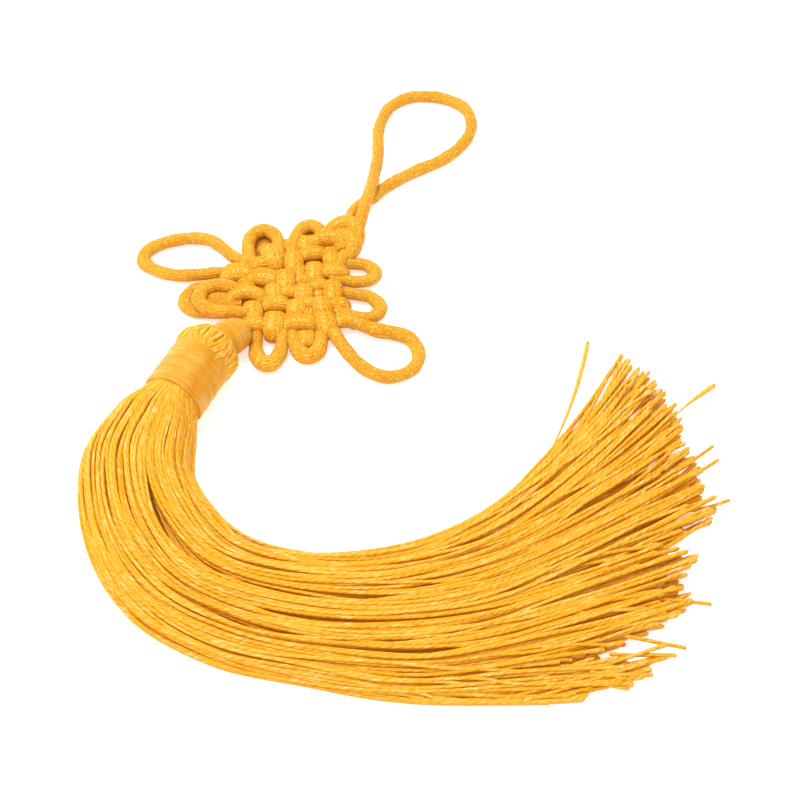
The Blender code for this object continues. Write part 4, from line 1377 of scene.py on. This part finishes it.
    def lines(self, rng: np.random.Generator, count: int, height: float, layer: int) -> Array:
        """The centre lines of one layer's yarns, (n, r, 3)."""
        step = 2.0 / count
        share = -1 + step * (np.arange(count) + 0.5) + rng.uniform(-0.45, 0.45, count) * step
        trim = self.trim[0] - self.trim[1] * rng.random(count) ** 1.8
        swings = [
            (pace, rng.normal(0, 1, (count, 1)), rng.uniform(0, 2 * math.pi, (count, 1)))
            for pace in self.paces
        ]
        crossing = rng.normal(0, 1, (count, 1)) * (rng.random((count, 1)) < self.crossers)
        crossing = crossing * self.cross_size
        leaves = rng.uniform(1.0, 5.5, (count, 1))

        def across(at: Array) -> Array:
            """Each yarn's share across the skirt at these places."""
            path = share[:, None] + np.zeros_like(at)
            loose = self.loose[0] + self.loose[1] * smoothstep(5.5, 9.0, at)
            for pace, swing, phase in swings:
                path = path + swing * np.sin(pace * at + phase) / pace**0.8 * loose
            if height > 0.7:
                path = path + crossing * smoothstep(leaves, leaves + 2.4, at)
            return self.gather(path, at, 0.25 * layer) if layer > 1 else path

        near_tip = across(np.full((count, 1), self.tip_section))[:, 0]
        last = np.interp(near_tip, *np.array(self.ends).T) + trim
        along = np.append(np.linspace(0, 1 - self.blunt, self.rings - 1), 1.0)
        at = last[:, None] * along[None]
        path = across(at)
        plan, pile = self.plan(at, np.clip(path, -1.0, 1.02))
        dome = np.sqrt(np.clip(1 - np.abs(path) ** 3, 0.03, 1))
        lift = height * (pile - 2 * self.yarn_radius) * dome
        bob = 0.25 * np.sin(1.3 * at + rng.uniform(0, 6.3, (count, 1)))
        lift = np.maximum(lift + bob * smoothstep(0.5, 2.5, at) * (height > 0.1), 0.0)
        rise = np.clip(1 - at, 0, None) * (self.axis.height - pile / 2)
        centres = np.dstack([plan, self.yarn_radius + lift + rise])
        return self.from_binding(centres, share, height, at)

    def from_binding(self, centres: Array, share: Array, height: float, at: Array) -> Array:
        """Brings the yarns out of the binding's end, where they are packed in a round.

        Args:
            centres: The lines as the sections give them.
            share: Each yarn's place across.
            height: The layer's height as a share.
            at: Places along the sections.

        Returns:
            The lines, started inside the binding.
        """
        level = 2 * height - 1
        wide = share * math.sqrt(1 - level**2 / 2) * self.packed
        high = level * np.sqrt(1 - share**2 / 2) * self.packed
        inside = self.axis.foot + self.axis.beyond * 1.2
        root = inside - wide[:, None] * self.axis.right + high[:, None] * self.axis.up
        bound = root[:, None] - at[..., None] * 5.0 * self.axis.beyond
        ease = smoothstep(0.0, 0.9, at)[..., None]
        return bound * (1 - ease) + centres * ease

    def build(self, yarn: bpy.types.Material) -> None:
        """Makes the skirt in two pieces, lower and upper."""
        rng = np.random.default_rng(self.seed)
        pieces = (Piece("skirt_lower"), Piece("skirt_upper"))
        for layer, (count, height) in enumerate(self.layers):
            centres = self.lines(rng, count, height, layer)
            size = self.yarn_radius * (1 + rng.uniform(-0.08, 0.1, (count, 1)))
            size = np.repeat(size, self.rings, axis=1)
            tip = run_lengths(centres)
            from_tip = tip[:, -1:] - tip
            flare = rng.uniform(0.0, 0.5, (count, 1))
            size = size * (1 + flare * np.exp(-(from_tip / 1.6) ** 2))
            size[:, -1] *= 0.5
            centres[..., 2] = np.maximum(centres[..., 2], size)
            tone = rng.uniform(0, 1, (count, 1))
            piece = pieces[0] if layer < self.lower else pieces[1]
            piece.add(Sweep(centres, size, size, tone=tone), self.sides)
        for number, route in enumerate(self.strays + self.thin_strays):
            line = evenly(route, self.stray_rings)[None]
            size = np.full(line.shape[:2], self.yarn_radius)
            if route in self.thin_strays:
                run = np.linspace(0, 1.6, self.stray_rings)
                size = size * (0.4 + smoothstep(*self.thin, run))
            pieces[1].add(Sweep(line, size, size, tone=np.array([[0.1 * number]])), self.sides)
        pieces[0].finish(yarn, Slot.YARN, "tassel")
        pieces[1].finish(yarn, Slot.YARN)


@dataclass
class Core:
    """Packed yarns inside the head and the binding, which show only as dark depth.

    Attributes:
        axis: The bound part's line.
        rings, sides: Stations along the core and corners round it.
        profile: Millimetres beyond the binding, and the radius there.
    """

    axis: BoundAxis
    rings: int = 40
    sides: int = 32
    profile: tuple = (
        (-12.0, 2.0), (-11.5, 4.4), (-1.0, 4.8), (1.0, 5.3), (2.6, 5.3), (3.9, 4.5), (4.7, 2.8),
    )

    def build(self, yarn: bpy.types.Material) -> None:
        """Makes the core."""
        places, radii = np.array(self.profile).T
        beyond = np.linspace(places[0], places[-1], self.rings)
        radius = np.interp(beyond, places, radii)
        line = self.axis.head + beyond[:, None] * self.axis.beyond
        piece = Piece("packed_yarns")
        piece.add(Sweep(line[None], radius[None], radius[None]), self.sides)
        piece.finish(yarn, Slot.YARN)


@dataclass
class Studio:
    """The pale floor, the soft light and the camera.

    Attributes:
        elevation: The camera's angle above the floor, in degrees.
        distance: Millimetres from the camera to the point it looks at.
        lens: Focal length for a 36 mm sensor.
        floor_size: The sheet's side in metres.
        lamp_size, lamp_place: The lamp's sides and its place, in metres.
        lamp_power: Its power in watts.
    """

    elevation: float = 50.0
    distance: float = 256.35
    lens: float = 60.0
    floor_size: float = 6.0
    lamp_size: tuple = (0.5, 0.4)
    lamp_place: tuple = (-0.22, 0.12, 0.55)
    lamp_power: float = 3.8

    def build(self) -> None:
        """Makes the floor, lights and camera."""
        self.floor()
        self.light()
        self.camera()
        bpy.context.scene.view_settings.view_transform = "Standard"

    def floor(self) -> None:
        """A wide white sheet."""
        work = bmesh.new()
        bmesh.ops.create_grid(work, x_segments=4, y_segments=4, size=self.floor_size / 2)
        mesh = bpy.data.meshes.new("floor")
        work.to_mesh(mesh)
        work.free()
        made = bpy.data.objects.new("floor", mesh)
        bpy.context.scene.collection.objects.link(made)
        book = NodeBook("white_sheet")
        shade = book.ease(book.grain(3.0), 0.0, 1.0)
        colour = book.blend(shade, (0.93, 0.93, 0.93), (0.95, 0.95, 0.95))
        glow = {"Emission Color": (1.0, 1.0, 1.0, 1.0), "Emission Strength": 0.5}
        mesh.materials.append(book.dress({"Base Color": colour, "Roughness": 0.9, **glow}))

    def light(self) -> None:
        """A bright even surround and one large soft lamp above and to the left."""
        world = bpy.data.worlds.new("surround")
        world.use_nodes = True
        background = world.node_tree.nodes["Background"]
        background.inputs["Color"].default_value = (1.0, 1.0, 1.0, 1.0)
        background.inputs["Strength"].default_value = 1.0
        bpy.context.scene.world = world
        lamp = bpy.data.lights.new("soft_box", "AREA")
        lamp.shape = "RECTANGLE"
        lamp.size, lamp.size_y = self.lamp_size
        lamp.energy = self.lamp_power
        made = bpy.data.objects.new("soft_box", lamp)
        made.location = self.lamp_place
        bpy.context.scene.collection.objects.link(made)
        self.aim(made, np.zeros(3))

    def camera(self) -> None:
        """The camera at the photograph's angle."""
        angle = math.radians(self.elevation)
        back = np.array([0.0, -math.cos(angle), math.sin(angle)])
        target = Layout.metres(np.zeros(3))
        made = bpy.data.objects.new("camera", bpy.data.cameras.new("camera"))
        made.data.lens = self.lens
        made.data.clip_start = 0.01
        made.location = target + back * self.distance * Layout.MM
        bpy.context.scene.collection.objects.link(made)
        self.aim(made, target)
        bpy.context.scene.camera = made

    def aim(self, made: bpy.types.Object, target: Array) -> None:
        """Turns a lamp or camera to look at a point."""
        look = Vector(target) - made.location
        made.rotation_euler = look.to_track_quat("-Z", "Y").to_euler()


def main() -> None:
    """Builds the pieces in order."""
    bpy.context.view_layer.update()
    silk = Silk()
    cord = KnottingCord(silk).material()
    wound = WoundThread(silk).material()
    yarn = TwistedYarn(YarnSilk()).material()
    axis = BoundAxis()
    Studio().build()
    HangingLoop().build(cord)
    ButtonKnot().build(cord)
    EndlessKnot().build(cord)
    WrappedNeck().build(wound)
    Binding(axis).build(wound)
    Core(axis).build(yarn)
    TasselHead(axis).build(yarn)
    Skirt(axis).build(yarn)


if __name__ == "__main__":
    logging.basicConfig(level=logging.INFO, format="%(message)s")
    main()
